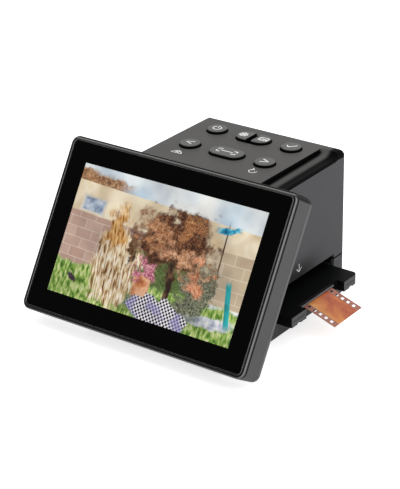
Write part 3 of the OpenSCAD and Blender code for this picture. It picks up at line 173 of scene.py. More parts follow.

# Step and shelf: the step's shadow painted on the hollow, and a painted dark reflection along the outer
# rounding
nearTop = ("Object", toZ, deckHigh.z - 0.008, deckHigh.z - 0.0065)
facesUp = ("Normal", toZ, 0.3, 0.6)
shelfPaintedShade = [
    # the upward faces near the top: the tone of the lit hollow between the painted dark bands
    ("#545453", [nearTop, facesUp]),
    # painted shadow of the step along its foot
    ("#050505", [nearTop, facesUp, ("Object", toX, deckEdge + 0.0037, deckEdge + 0.0008),
                 ("Object", toY, deckHigh.y - 0.0062, deckHigh.y - 0.0082)]),
    # painted dark reflection on the outer rounding, here and in the next row
    ("#070707", [nearTop, facesUp, ("Object", toX, deckEdge + 0.0054, deckEdge + 0.0094)]),
    ("#0b0b0b", [nearTop, ("Normal", toX, 0.12, 0.3), ("Normal", toZ, 0.03, 0.12)]),
    # painted shade, black down the wall of the step
    ("#050505", [nearTop, ("Object", toX, deckEdge + 0.001, deckEdge + 0.0005), ("Normal", toX, 0.5, 0.8)]),
]
# Side of the case: painted shade above the slot, where the display keeps the light out, and the seam's
# painted shadow
sidePaintedShade = [
    # painted shade, darker towards the slot
    ("#2c2c2d", [("Normal", toX, 0.9, 0.98), ("Object", toZ, slotTop + 0.018, slotTop + 0.001),
                 ("Object", toZ, trayLow.z - 0.001, trayLow.z),
                 ("Object", toY, trayHigh.y - 0.005, trayHigh.y - 0.045)]),
    # painted shadow of the seam, as a dark line
    ("#0c0c0c", [("Object", toZ, seamTop + 0.0007, seamTop + 0.0003),
                 ("Object", toZ, seamTop - 0.001, seamTop - 0.0006)]),
]
# Deck: painted shade, black down the walls of the holes and of the step
wellPaintedShade = [
    # painted shade, black down the deck's side at the step
    ("#050505", [("Object", toX, deckEdge - 0.0005, deckEdge - 0.0001), ("Normal", toX, 0.5, 0.8)]),
    # painted shade, black down the walls of the holes
    ("#050505", [("Normal", toZ, 0.6, 0.3), ("Object", toX, deckLow.x + 0.003, deckLow.x + 0.004),
                 ("Object", toX, deckHigh.x - 0.003, deckHigh.x - 0.004),
                 ("Object", toY, deckLow.y + 0.003, deckLow.y + 0.004),
                 ("Object", toY, deckHigh.y - 0.003, deckHigh.y - 0.004)]),
]
# Keycaps: painted shade, black on the sides and on the flange under the deck, in the dark of the hole
capPaintedShade = [
    ("#050505", [("Normal", toZ, 0.6, 0.3)]),
    ("#030303", [("Object", toZ, deckHigh.z - 0.0003, deckHigh.z - 0.0008)]),
]
# Display shells: painted shade in the groove behind the rim and where the top corners turn up
shellPaintedShade = [
    # painted shade in the groove behind the rim
    ("#060606", [("Object", glassOut, rimBack - 0.0011, rimBack - 0.0008), ("Normal", glassOut, -0.5, -0.1)]),
    # painted shade where the top corners turn up
    ("#0c0c0d", [("Normal", glassUp, 0.2, 0.5), ("Normal", glassUp, 0.999, 0.985)]),
]
# Rim: black, with a painted highlight along its rounding, brightest down the sides and dullest along the top
rimPaintedLine = [("Normal", glassOut, 0.2, 0.45), ("Normal", glassOut, 0.99, 0.95)]
facesOut = ("Normal", glassOut, 0.5, 0.8)
rimPaintedLightAndShade = [
    # painted highlight along the rounding
    ("#80807e", rimPaintedLine),
    # a dimmer painted highlight along the bottom
    ("#6a6a68", [*rimPaintedLine, ("Normal", -glassUp, 0.2, 0.5)]),
    # painted shade, black along the top rounding
    ("#060606", [*rimPaintedLine, ("Normal", glassUp, 0.2, 0.5)]),
    # painted highlight lines on the front face above the glass, grey then bright
    ("#414140", [("Object", glassUp, glassTop, glassTop + 0.0003), facesOut]),
    ("#7c7c7a", [("Object", glassUp, glassTop + 0.0007, glassTop + 0.0012), facesOut]),
    # painted shade, black above them
    ("#040404", [("Object", glassUp, glassTop + 0.0015, glassTop + 0.0019)]),
]
# Film holder: painted light on its end faces, where they catch the light
trayPaintedLight = [("#525253", [("Normal", toX, 0.6, 0.9),
                          ("Object", toX, trayHigh.x - 0.003, trayHigh.x - 0.002)])]

# Sizes are real ones in millimetres. A grain finer than about 0.6 mm wouldn't show, so it is drawn that
# coarse. What a surface doesn't name is as in plainLook.
plainLook = {"grainMm": 0.6, "roughnessSpread": 0.03, "specular": 0.5, "metallic": 0.0, "edgeMm": 0,
             "stretch": (1, 1, 1), "tints": []}
surfaceLooks = {
    # spark-eroded mould texture on ABS: a dull charcoal with hardly any sheen and softly broken edges
    "sparkTexturedAbs": {"colours": "#525254 #555557 #585859", "mottleMm": 30, "grainMm": 0.7,
                         "relief": 0.25, "roughness": 0.45, "specular": 0.015, "edgeMm": 0.35,
                         "tints": shelfPaintedShade + sidePaintedShade},
    # the same plastic on the deck, a little smoother, so that it mirrors some of the sky
    "sparkTexturedAbsDeck": {"colours": "#504f4e #545352 #585756", "mottleMm": 24, "relief": 0.2,
                             "roughness": 0.42, "specular": 0.05, "edgeMm": 0.3, "tints": wellPaintedShade},
    # satin ABS of the display's shells, finer than the case
    "satinAbs": {"colours": "#575758 #5a5a5b #5d5d5e", "mottleMm": 26, "relief": 0.12, "roughness": 0.4,
                 "specular": 0.02, "edgeMm": 0.3, "tints": shellPaintedShade},
    # the same on the back cover, painted lighter all over as painted light, for its broader edge that catches
    # more light
    "satinAbsCoverPaintedLighter": {"colours": "#636364 #676768 #6a6a6b", "mottleMm": 26, "relief": 0.12,
                      "roughness": 0.38, "specular": 0.04, "edgeMm": 0.3, "tints": shellPaintedShade[1:]},
    # polished ABS of the rim: deep black with a painted highlight line along its rounding
    "polishedAbsPaintedHighlights": {"colours": "#0c0c0d #101011", "mottleMm": 20, "relief": 0.03, "roughness": 0.18,
                    "roughnessSpread": 0.02, "specular": 0.08, "tints": rimPaintedLightAndShade},
    # satin keycaps, moulded in soft-touch ABS: as light as the deck on top, with black painted shade down the
    # sides
    "keycapAbs": {"colours": "#5a5a59 #636362", "mottleMm": 6, "relief": 0.08, "roughness": 0.3,
                  "specular": 0.08, "edgeMm": 0.1, "tints": capPaintedShade},
    # glass with a black enamel print on its back and an antireflective coating: nearly no sheen
    "coatedPrintedGlass": {"colours": "#020202 #030303", "mottleMm": 60, "grainMm": 2, "relief": 0.0,
                           "roughness": 0.05, "roughnessSpread": 0.01, "specular": 0.02},
    # the ground edge of that glass: a thin frosted line
    "groundGlassEdge": {"colours": "#5c5c5c #686868", "mottleMm": 5, "relief": 0.05, "roughness": 0.35,
                        "roughnessSpread": 0.05, "specular": 0.4},
    # matt black ABS of the film holder, which must not throw light about
    "mattBlackAbs": {"colours": "#050506 #090a0b", "mottleMm": 18, "relief": 0.25, "roughness": 0.5,
                     "roughnessSpread": 0.04, "specular": 0.05, "edgeMm": 0.25,
                     "tints": trayPaintedLight},
    # light-trap plastic inside the case: dead black
    "lightTrapAbs": {"colours": "#060607 #0a0a0b", "mottleMm": 18, "grainMm": 0.8, "relief": 0.3,
                     "roughness": 0.75, "roughnessSpread": 0.05, "specular": 0.2},
    # grey moulded polystyrene of the film gate
    "greyPolystyrene": {"colours": "#57575a #626265", "mottleMm": 8, "relief": 0.1, "roughness": 0.45,
                        "edgeMm": 0.15},
    # moulded silicone rubber: dull and slightly dusty
    "siliconeRubber": {"colours": "#161616 #1e1d1c #232220", "mottleMm": 3, "grainMm": 0.8, "relief": 0.3,
                       "roughness": 0.8, "roughnessSpread": 0.06, "specular": 0.3, "edgeMm": 0.3},
    # rolled steel, zinc plated: soft brushed glints along its length
    "zincPlatedSteel": {"colours": "#8e9094 #a3a5a9 #b4b6ba", "mottleMm": 2, "relief": 0.15,
                        "stretch": (0.15, 1, 1), "roughness": 0.32, "roughnessSpread": 0.08,
                        "metallic": 1.0},
    # sintered magnet, nickel plated: bright and even
    "nickelPlatedMagnet": {"colours": "#b9b4a8 #c8c4ba", "mottleMm": 4, "relief": 0.05, "roughness": 0.18,
                           "metallic": 1.0},
    # tinned copper legs and solder
    "tinnedCopper": {"colours": "#b5b6b8 #cfd0d2", "mottleMm": 1, "relief": 0.2, "roughness": 0.25,
                     "roughnessSpread": 0.06, "metallic": 1.0},
    # transfer-moulded black epoxy with a fine matt skin
    "mouldedEpoxy": {"colours": "#141415 #1a1a1b", "mottleMm": 3, "relief": 0.2, "roughness": 0.55,
                     "roughnessSpread": 0.04},
    # matt white liquid solder mask on the lamp's board
    "whiteSolderMask": {"colours": "#e3e2dc #eceae5", "mottleMm": 12, "grainMm": 0.8, "relief": 0.05,
                        "roughness": 0.4, "roughnessSpread": 0.04},
    # white polycarbonate that reflects the lamp
    "whitePolycarbonate": {"colours": "#e6e6e1 #efefeb", "mottleMm": 14, "grainMm": 0.8, "relief": 0.05,
                           "roughness": 0.5, "roughnessSpread": 0.04},
    # opal acrylic sheet with a silky face
    "opalAcrylic": {"colours": "#eeeeea #f5f5f2", "mottleMm": 20, "grainMm": 0.8, "relief": 0.03,
                    "roughness": 0.35},
    # white acrylic light guide in its foil
    "lightGuideAcrylic": {"colours": "#c9ccce #d6d9da", "mottleMm": 20, "grainMm": 0.8, "relief": 0.03,
                          "roughness": 0.25},
    # silicone with yellow phosphor over blue chips
    "ledPhosphor": {"colours": "#d9c563 #e8d98a", "mottleMm": 2, "relief": 0.1, "roughness": 0.4,
                    "roughnessSpread": 0.05},
    # liquid crystal cell: dark glass with a faint green cast
    "liquidCrystalCell": {"colours": "#1b201e #232926", "mottleMm": 40, "grainMm": 1, "relief": 0.0,
                          "roughness": 0.12, "roughnessSpread": 0.02},
    # bare silicon sensor under its cover glass: dark with a green sheen
    "sensorSilicon": {"colours": "#243a33 #37504a", "mottleMm": 2, "relief": 0.0, "roughness": 0.15},
    # white screen-printed ink: flat and slightly raised
    "screenPrintedInk": {"colours": "#f0f0ee #f6f6f4", "mottleMm": 4, "relief": 0.05, "roughness": 0.5,
                         "roughnessSpread": 0.04},
}
surfaces = {name: surfaceMaterial(name, look) for name, look in surfaceLooks.items()}


def solderMaskMaterial():
    # glass-fibre board under green solder mask: copper traces show as lighter lines, about 1 mm apart
    material, tree, shader = newMaterial("solderMaskedBoard", {"Roughness": 0.32, "IOR": 1.55})
    place = addNode(tree, "ShaderNodeTexCoord")
    tracks = addNode(tree, "ShaderNodeTexBrick",
                     {"Scale": 160.0, "Mortar Size": 0.018, "Brick Width": 1.6, "Row Height": 0.32,
                      "Color1": linearColour("#123f26"), "Color2": linearColour("#174a2e"),
                      "Mortar": linearColour("#2f7a4c")}, {"Vector": place.outputs["Object"]})
    tree.links.new(tracks.outputs["Color"], shader.inputs["Base Color"])
    relief = addNode(tree, "ShaderNodeBump", {"Strength": 0.2, "Distance": 0.0001},
                     {"Height": tracks.outputs["Fac"]})
    tree.links.new(relief.outputs["Normal"], shader.inputs["Normal"])
    return material


def flatCableMaterial():
    # polyimide flat cable: amber film over copper conductors 1 mm apart, along the cable
    material, tree, shader = newMaterial("polyimideFlatCable", {"Roughness": 0.28, "IOR": 1.7})
    place = addNode(tree, "ShaderNodeTexCoord")
    lines = addNode(tree, "ShaderNodeTexWave", {"bands_direction": "X", "Scale": 50.0, "Distortion": 0.0},
                    {"Vector": place.outputs["Object"]})
    film = addNode(tree, "ShaderNodeValToRGB", None, {"Fac": lines.outputs["Fac"]})
    setRamp(film, "#8a5a1e #8a5a1e #c9853a #d39a55")
    tree.links.new(film.outputs["Color"], shader.inputs["Base Color"])
    return material


def opticalGlassMaterial():
    # ground and coated lens glass: clear with a faint violet bloom
    material, tree, shader = newMaterial("coatedOpticalGlass", {"Roughness": 0.02, "IOR": 1.52,
                                                                "Transmission Weight": 0.9})
    facing = addNode(tree, "ShaderNodeLayerWeight", {"Blend": 0.3})
    bloom = addNode(tree, "ShaderNodeValToRGB", None, {"Fac": facing.outputs["Facing"]})
    setRamp(bloom, "#dfe9ee #b9b3dc")
    tree.links.new(bloom.outputs["Color"], shader.inputs["Base Color"])
    return material


# The strip's cut end and middle, its pictures' width across it, their pitch and gap along it, how far the
# first one starts past the end, and how softly their sides and ends fade
filmLow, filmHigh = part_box("film_strip")
negative = {"endX": filmHigh.x, "middleY": filmLow.y + 0.0175, "pictureWidth": 0.024, "framePitch": 0.038,
            "frameGap": 0.002, "lead": 0.006, "softSide": 0.0006, "softEnd": 0.0004}


def negativeMaterial():
    # developed colour negative: orange mask, red-brown picture dyes, glossy base
    material, tree, shader = newMaterial("developedColourNegative", {"Roughness": 0.3, "IOR": 1.5})
    place = addNode(tree, "ShaderNodeTexCoord")
    split = addNode(tree, "ShaderNodeSeparateXYZ", None, {"Vector": place.outputs["Object"]})
    halfWidth = negative["pictureWidth"] / 2
    # picture dyes: broad soft shapes about 10 mm across, denser towards the far side
    dyes = addNode(tree, "ShaderNodeTexNoise",
                   {"Scale": 85.0, "Detail": 4.0, "Roughness": 0.55, "Distortion": 0.6},
                   {"Vector": place.outputs["Object"]})
    across = addNode(tree, "ShaderNodeMapRange",
                     {"From Min": negative["middleY"] - halfWidth,
                      "From Max": negative["middleY"] + halfWidth, "To Min": 0.22, "To Max": -0.2},
                     {"Value": split.outputs["Y"]})
    density = addNode(tree, "ShaderNodeMath", {"operation": "ADD", "use_clamp": True}, {0: dyes, 1: across})
    picture = addNode(tree, "ShaderNodeValToRGB", None, {"Fac": density})
    setRamp(picture, "#702b15 #943b1b #b05428 #c87636 #d6944a #cba56a")
    # how far a point lies inside a picture: across the strip, and along it between the gaps
    offCentre = addNode(tree, "ShaderNodeMath", {"operation": "SUBTRACT", 1: negative["middleY"]},
                        {0: split.outputs["Y"]})
    distance = addNode(tree, "ShaderNodeMath", {"operation": "ABSOLUTE"}, {0: offCentre})
    inWidth = addNode(tree, "ShaderNodeMapRange",
                      {"From Min": halfWidth, "From Max": halfWidth - negative["softSide"]},
                      {"Value": distance})
    fromEnd = addNode(tree, "ShaderNodeMath",
                      {"operation": "SUBTRACT", 0: negative["endX"] + negative["lead"]},
                      {1: split.outputs["X"]})
    inPitch = addNode(tree, "ShaderNodeMath", {"operation": "MODULO", 1: negative["framePitch"]},
                      {0: fromEnd})
    inLength = addNode(tree, "ShaderNodeMapRange", {"From Min": negative["frameGap"] - negative["softEnd"],
                                                    "From Max": negative["frameGap"]}, {"Value": inPitch})
    inside = addNode(tree, "ShaderNodeMath", {"operation": "MULTIPLY"}, {0: inWidth, 1: inLength})
    rebate = addNode(tree, "ShaderNodeTexNoise", {"Scale": 120.0, "Detail": 2.0},
                     {"Vector": place.outputs["Object"]})
    rebateShades = addNode(tree, "ShaderNodeValToRGB", None, {"Fac": rebate})
    setRamp(rebateShades, "#80493a #9c6250 #ab7563")
    blend = addNode(tree, "ShaderNodeMix", {"data_type": "RGBA"}, {0: inside, 6: rebateShades, 7: picture})
    tree.links.new(blend.outputs[2], shader.inputs["Base Color"])
    return material


surfaces["solderMaskedBoard"] = solderMaskMaterial()
surfaces["polyimideFlatCable"] = flatCableMaterial()
surfaces["coatedOpticalGlass"] = opticalGlassMaterial()
surfaces["developedColourNegative"] = negativeMaterial()

# Which surface each piece of the frame is made in
finishes = {
    "sparkTexturedAbs": ["upper_housing", "base_housing"],
    "sparkTexturedAbsDeck": ["control_panel"],
    "satinAbs": ["display_housing"],
    "satinAbsCoverPaintedLighter": ["display_back"],
    "polishedAbsPaintedHighlights": ["display_rim"],
    "keycapAbs": ["power_button", "menu_button", "gallery_button", "ok_button", "previous_button",
                  "scan_button", "next_button"],
    "coatedPrintedGlass": ["cover_glass"],
    "mattBlackAbs": ["film_tray", "tray_cover"],
    "lightTrapAbs": ["tray_guide", "optics_bridge", "light_hood", "lens_holder", "lens_barrel"],
    "greyPolystyrene": ["film_gate"],
    "siliconeRubber": ["rubber_feet", "display_bumpers"],
    "zincPlatedSteel": ["case_screws", "inner_screws", "display_screws", "hinge_brackets", "hinge_pins",
                        "side_springs", "usb_socket", "video_socket", "card_slot"],
    "nickelPlatedMagnet": ["tray_magnets"],
    "mouldedEpoxy": ["processor_chips", "display_chips", "push_switches"],
    "whiteSolderMask": ["backlight_board"],
    "whitePolycarbonate": ["light_reflector"],
    "opalAcrylic": ["light_diffuser"],
    "lightGuideAcrylic": ["panel_lamp_unit"],
    "ledPhosphor": ["backlight_leds"],
    "liquidCrystalCell": ["picture_panel"],
    "sensorSilicon": ["image_sensor"],
    "solderMaskedBoard": ["main_board", "sensor_board", "display_board"],
    "polyimideFlatCable": ["sensor_ribbon", "case_ribbon", "display_ribbon"],
    "coatedOpticalGlass": ["lens_glasses"],
    "developedColourNegative": ["film_strip"],
}
for surfaceName, members in finishes.items():
    for member in members:
        piece = cadNodes[member]
        if not piece.material_slots:
            piece.data.materials.append(surfaces[surfaceName])
        for materialSlot in piece.material_slots:
            materialSlot.material = surfaces[surfaceName]
print("finishes set on", sum(len(members) for members in finishes.values()), "pieces")


def addPiece(name, mesh, body, material=None):
    piece = bpy.data.objects.new(name, mesh)
    bpy.context.scene.collection.objects.link(piece)
    if material:
        mesh.materials.clear()
        mesh.materials.append(material)
    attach(piece, body)
    return piece


def roundedOutline(width, height, radius, steps):
    points = []
    for cornerX, cornerY, start in ((1, 1, 0), (-1, 1, 90), (-1, -1, 180), (1, -1, 270)):
        for step in range(steps + 1):
            angle = math.radians(start + 90 * step / steps)
            points.append((cornerX * (width / 2 - radius) + radius * math.cos(angle),
                           cornerY * (height / 2 - radius) + radius * math.sin(angle)))
    return points


def plateMesh(name, rings, place):
    # closed plate from outlines stacked from the back to the front: each ring is an outline and its height
    build = bmesh.new()
    loops = [[build.verts.new((x, y, z)) for x, y in outline] for outline, z in rings]
    count = len(loops[0])
    for lower, upper in zip(loops, loops[1:]):
        for i in range(count):
            build.faces.new((lower[i], lower[(i + 1) % count], upper[(i + 1) % count], upper[i]))
    build.faces.new(list(reversed(loops[0])))
    build.faces.new(loops[-1])
    bmesh.ops.recalc_face_normals(build, faces=build.faces[:])
    uvLayer = build.loops.layers.uv.new("face")
    width = max(v.co.x for v in build.verts) * 2
    height = max(v.co.y for v in build.verts) * 2
    for face in build.faces:
        for loop in face.loops:  # 1 is the plate's height, measured from its lower left corner
            loop[uvLayer].uv = ((loop.vert.co.x + width / 2) / height, (loop.vert.co.y + height / 2) / height)
    mesh = bpy.data.meshes.new(name)
    build.to_mesh(mesh)
    build.free()
    mesh.transform(place)
    return mesh


# Cover glass with ground edges; it takes its size from the CAD glass and lies in its space
coverGlass = {"radius": 0.0032, "cornerSteps": 8, "thickness": 0.0011, "chamfer": 0.0004}
glassLow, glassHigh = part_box("cover_glass")
outerSize = (glassHigh.x - glassLow.x, glassTop - min(glassUps), coverGlass["radius"])
innerSize = tuple(v - d * coverGlass["chamfer"] for v, d in zip(outerSize, (2, 2, 1)))
outer, inner = (roundedOutline(*size, coverGlass["cornerSteps"]) for size in (outerSize, innerSize))
glassRings = [(outer, -coverGlass["thickness"]), (outer, -coverGlass["chamfer"]), (inner, 0.0)]
glassMesh = plateMesh("ground_cover_glass", glassRings, glassPlane)
groundGlass = addPiece("ground_cover_glass", glassMesh, "display",
                       surfaces["coatedPrintedGlass"])
glassMesh.materials.append(surfaces["groundGlassEdge"])
for polygon in glassMesh.polygons:
    polygon.material_index = 0 if abs(polygon.normal.dot(glassOut)) > 0.99 else 1
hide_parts("cover_glass")
print("cover glass made")

# A made-up garden view. Places and sizes count the picture's height as 1, from its lower left corner.
# Each motif is laid over the ones before it. A row gives its shape, place, half sizes, turn in degrees,
# softness and raggedness of its edge, and what fills it: a pattern, its grain as a part of the height, and
# its colours.
motifParts = ("shape", "at", "half", "turn", "soft", "ragged", "fill", "grain", "colours")
gardenView = [dict(zip(motifParts, row)) for row in [
    # sky and far treetops
    ("box", (0.83, 0.92), (1.0, 0.12), 0, 0.1, 0, "cloud", 0.5, "#b7cfe4 #d7e3ec #eef1f1 #f6f4ee"),
    ("box", (0.14, 0.9), (0.42, 0.075), -3, 0.5, 0.06, "leaves", 0.03, "#5d3f2c #8f6547 #b98f6a #d9bd9a"),
    # a plastered wall with a window
    ("box", (0.9, 0.66), (0.95, 0.19), -2, 0.04, 0.006, "cloud", 0.3, "#d5bd98 #e6d3b2 #f2e6cd #e3d0ac"),
    ("box", (0.19, 0.71), (0.125, 0.07), -2, 0.1, 0.004, "cloud", 0.4, "#cfc4b0 #f4f0e6"),
    ("box", (0.19, 0.71), (0.105, 0.055), -2, 0.2, 0.004, "cloud", 0.08, "#5f7391 #a9b9cf #dfe6ef"),
    # two walls of pale blocks
    ("box", (0.28, 0.44), (0.46, 0.2), -2, 0.05, 0.006, "blocks", 0.075, "#b9998a #c9ac9d #d8c4b6"),
    ("box", (1.45, 0.45), (0.36, 0.2), 1, 0.06, 0.006, "blocks", 0.09, "#cdbba1 #c2ae93 #ddd0ba"),
    # hedge, grass, a white cloth and the shade on the grass
    ("box", (0.9, 0.36), (0.36, 0.13), -1, 0.2, 0.05, "leaves", 0.03, "#2f3d22 #566b3a #8a9a5c"),
    ("box", (0.83, 0.1), (1.0, 0.17), -1, 0.2, 0.05, "blades", 0.012,
     "#37591f #5f8a33 #93b455 #c3d28a #dde3ae"),
    ("disc", (1.42, 0.12), (0.27, 0.055), 3, 0.35, 0.05, "cloud", 0.05, "#9aa0b8 #d5d9e4 #f8f8f8"),
    ("disc", (0.95, 0.1), (0.62, 0.12), 0, 0.9, 0.04, "blades", 0.012, "#1d2b14 #35501f #54742f"),
    # post, slide and a blue sail
    ("box", (1.4, 0.56), (0.008, 0.33), 2, 0.4, 0, "cloud", 0.1, "#2a231d #7b6a58"),
    ("box", (1.56, 0.28), (0.026, 0.19), 14, 0.3, 0.004, "cloud", 0.2, "#0f767c #2fb2b6 #1a959b"),
    ("box", (1.4, 0.8), (0.13, 0.028), 9, 0.5, 0.03, "cloud", 0.05, "#0f5f88 #2aa3c8 #9adbe8"),
    # autumn tree
    ("disc", (0.97, 0.62), (0.4, 0.29), 8, 0.35, 0.22, "leaves", 0.022, "#170c08 #3c2116 #6d432b #a8744c"),
    ("disc", (0.8, 0.66), (0.2, 0.13), -25, 0.7, 0.2, "leaves", 0.018, "#5a2f1c #9c633f #d09a70 #efcfae"),
    ("disc", (1.1, 0.72), (0.19, 0.1), 20, 0.7, 0.2, "leaves", 0.018, "#4a2818 #875433 #bd8558 #e3b68c"),
    ("disc", (1.0, 0.53), (0.22, 0.09), -6, 0.7, 0.2, "leaves", 0.02, "#6b3a24 #b57a55 #e0ae88 #f3d6bb"),
    ("box", (1.03, 0.28), (0.034, 0.26), 5, 0.5, 0.03, "strands", 0.008, "#120b08 #35221a #7a5840"),
    # pampas grass
    ("disc", (0.52, 0.3), (0.24, 0.36), 6, 0.3, 0.16, "strands", 0.009,
     "#4a2d18 #9a7046 #dcc49c #f6ecd8 #fbf6ea"),
    ("disc", (0.47, 0.58), (0.13, 0.2), 12, 0.7, 0.18, "strands", 0.008, "#5c3516 #b37a3a #dfae6c #f3d7a6"),
    ("disc", (0.64, 0.46), (0.07, 0.16), -14, 0.7, 0.16, "strands", 0.008, "#20130c #5a3c24 #9a7046"),
    # shrub in flower
    ("disc", (1.27, 0.32), (0.19, 0.27), -8, 0.4, 0.2, "leaves", 0.018, "#23261f #4c5144 #85886f #b9b8a0"),
    ("disc", (1.24, 0.42), (0.15, 0.14), 0, 0.9, 0.26, "leaves", 0.026, "#7e3a22 #c9784f #efb08a #fbe0cb"),
    # pot with flowers
    ("box", (0.8, 0.24), (0.085, 0.1), 3, 0.25, 0.01, "cloud", 0.1, "#9c5836 #d0885c #efbe98 #c47c52"),
    ("disc", (0.8, 0.36), (0.13, 0.075), 0, 0.5, 0.2, "leaves", 0.02, "#5b1f3a #a8506e #e39aa8 #f7d6d2"),
    # checked cloth and a dark stone
    ("disc", (1.0, 0.07), (0.3, 0.13), -9, 0.15, 0.07, "checks", 0.017, "#23212f #f1eef5 #8b86c4"),
    ("disc", (0.17, 0.15), (0.07, 0.04), -15, 0.5, 0.06, "cloud", 0.03, "#17101a #4a3a4c"),
]]


def motifFill(tree, motif, uv):
    # the pattern inside a motif, as a colour
    scale, turn = 1 / motif["grain"], math.radians(motif["turn"])
    if motif["fill"] in ("blocks", "checks"):
        turned = addNode(tree, "ShaderNodeMapping", {"vector_type": "TEXTURE", "Rotation": (0, 0, turn)},
                         {"Vector": uv})
        first, second, third = (linearColour(c) for c in motif["colours"].split())
        if motif["fill"] == "blocks":
            return addNode(tree, "ShaderNodeTexBrick",
                           {"Scale": 0.5 * scale, "Mortar Size": 0.02, "Brick Width": 1.0, "Row Height": 0.5,
                            "Color1": first, "Color2": second, "Mortar": third}, {"Vector": turned})
        small = addNode(tree, "ShaderNodeTexChecker", {"Scale": scale, "Color1": first, "Color2": second},
                        {"Vector": turned})
        fold = addNode(tree, "ShaderNodeTexNoise", {"Scale": 7.0, "Detail": 2.0}, {"Vector": uv})
        shade = addNode(tree, "ShaderNodeMapRange", {"From Min": 0.5, "From Max": 0.62, "To Max": 0.6},
                        {"Value": fold})
        tinted = addNode(tree, "ShaderNodeMix", {"data_type": "RGBA", 7: third}, {0: shade, 6: small})
        return tinted.outputs[2]
    if motif["fill"] == "leaves":
        pattern = addNode(tree, "ShaderNodeTexNoise",
                          {"Scale": scale, "Detail": 5.0, "Roughness": 0.65, "Distortion": 1.2},
                          {"Vector": uv})
    elif motif["fill"] == "cloud":
        pattern = addNode(tree, "ShaderNodeTexNoise", {"Scale": scale, "Detail": 2.0}, {"Vector": uv})
    else:  # strands hang down, blades stand up: both are noise drawn out along their length
        thin = 5.0 if motif["fill"] == "strands" else 2.5
        drawn = addNode(tree, "ShaderNodeMapping",
                        {"vector_type": "TEXTURE", "Rotation": (0, 0, turn), "Scale": (1, thin, 1)},
                        {"Vector": uv})
        pattern = addNode(tree, "ShaderNodeTexNoise", {"Scale": scale / 2, "Detail": 4.0, "Distortion": 0.5},
                          {"Vector": drawn})
    spread = addNode(tree, "ShaderNodeMapRange", {"From Min": 0.3, "From Max": 0.7}, {"Value": pattern})
    fill = addNode(tree, "ShaderNodeValToRGB", None, {"Fac": spread})
    setRamp(fill, motif["colours"])
    return fill


def motifMask(tree, motif, uv):
    # 1 inside the motif's shape, falling to 0 over its soft and ragged edge
    place = uv
    if motif["ragged"]:
        tear = addNode(tree, "ShaderNodeTexNoise", {"Scale": 9.0, "Detail": 5.0, "Roughness": 0.6},
                       {"Vector": uv})
        offset = addNode(tree, "ShaderNodeVectorMath", {"operation": "SUBTRACT", 1: (0.5, 0.5, 0.5)},
                         {0: tear.outputs["Color"]})
        scaled = addNode(tree, "ShaderNodeVectorMath", {"operation": "SCALE", "Scale": motif["ragged"] * 2.5},
                         {0: offset})
        moved = addNode(tree, "ShaderNodeVectorMath", {"operation": "ADD"}, {0: uv, 1: scaled})
        place = addNode(tree, "ShaderNodeVectorMath", {"operation": "MULTIPLY", 1: (1, 1, 0)}, {0: moved})
    local = addNode(tree, "ShaderNodeMapping",
                    {"vector_type": "TEXTURE", "Location": (*motif["at"], 0), "Scale": (*motif["half"], 1),
                     "Rotation": (0, 0, math.radians(motif["turn"]))}, {"Vector": place})
    if motif["shape"] == "disc":
        reach = addNode(tree, "ShaderNodeVectorMath", {"operation": "LENGTH"}, {0: local}).outputs["Value"]
    else:
        sides = addNode(tree, "ShaderNodeVectorMath", {"operation": "ABSOLUTE"}, {0: local})
        split = addNode(tree, "ShaderNodeSeparateXYZ", None, {"Vector": sides})
        reach = addNode(tree, "ShaderNodeMath", {"operation": "MAXIMUM"},
                        {0: split.outputs["X"], 1: split.outputs["Y"]})
    return addNode(tree, "ShaderNodeMapRange", {"interpolation_type": "SMOOTHSTEP", "From Min": 1.0,
                                                "From Max": 1.0 - motif["soft"]}, {"Value": reach})


def litPictureMaterial():
    # backlit liquid crystal panel: it shines by itself, under the glass's coating
    material, tree, shader = newMaterial("backlitLiquidCrystal",
                                         {"Base Color": linearColour("#020202"), "Roughness": 0.08,
                                          "Specular IOR Level": 0.12, "Emission Strength": 1.0})
    uv = addNode(tree, "ShaderNodeUVMap", {"uv_map": "face"})
    picture = motifFill(tree, gardenView[0], uv)
    for motif in gardenView[1:]:
        fill = motifFill(tree, motif, uv)
        layer = addNode(tree, "ShaderNodeMix", {"data_type": "RGBA"},
                        {0: motifMask(tree, motif, uv), 6: picture, 7: fill})
        picture = layer.outputs[2]
    # patches of sun and shade over the whole view
    shade = addNode(tree, "ShaderNodeTexNoise", {"Scale": 3.2, "Detail": 3.0}, {"Vector": uv})
    light = addNode(tree, "ShaderNodeValToRGB", None, {"Fac": shade})
    setRamp(light, "#9c9ca2 #d4d2d2 #fffefa #ffffff")
    lit = addNode(tree, "ShaderNodeMix", {"data_type": "RGBA", "blend_type": "MULTIPLY", 0: 1.0},
                  {6: picture, 7: light})
    tree.links.new(lit.outputs[2], shader.inputs["Emission Color"])
    return material


# The lit picture lies flush in the glass; it stands 0.02 mm proud so that the two don't fight
litPicture = {"width": 0.1524, "height": 0.0914, "radius": 0.0001, "cornerSteps": 2, "depth": 0.0002,
              "proud": 0.00002}
pictureOutline = roundedOutline(*(litPicture[k] for k in ("width", "height", "radius", "cornerSteps")))
pictureRings = [(pictureOutline, -litPicture["depth"]), (pictureOutline, litPicture["proud"])]
addPiece("shown_picture", plateMesh("shown_picture", pictureRings, glassPlane), "display",
         litPictureMaterial())
print("picture made from", len(gardenView), "motifs")


def startTree(name, inputs):
    # a geometry tree with a mesh and the named inputs, each a name and a kind
    tree = bpy.data.node_groups.new(name, "GeometryNodeTree")
    for title, kind in [("Geometry", "Geometry"), *inputs]:
        tree.interface.new_socket(title, in_out="INPUT", socket_type="NodeSocket" + kind)
    tree.interface.new_socket("Geometry", in_out="OUTPUT", socket_type="NodeSocketGeometry")
    return tree, addNode(tree, "NodeGroupInput").outputs


def endTree(tree, shape, finish):
    real = addNode(tree, "GeometryNodeRealizeInstances", None, {"Geometry": shape})
    dressed = addNode(tree, "GeometryNodeSetMaterial", None, {"Geometry": real, "Material": finish})
    addNode(tree, "NodeGroupOutput", None, {"Geometry": dressed})
    return tree


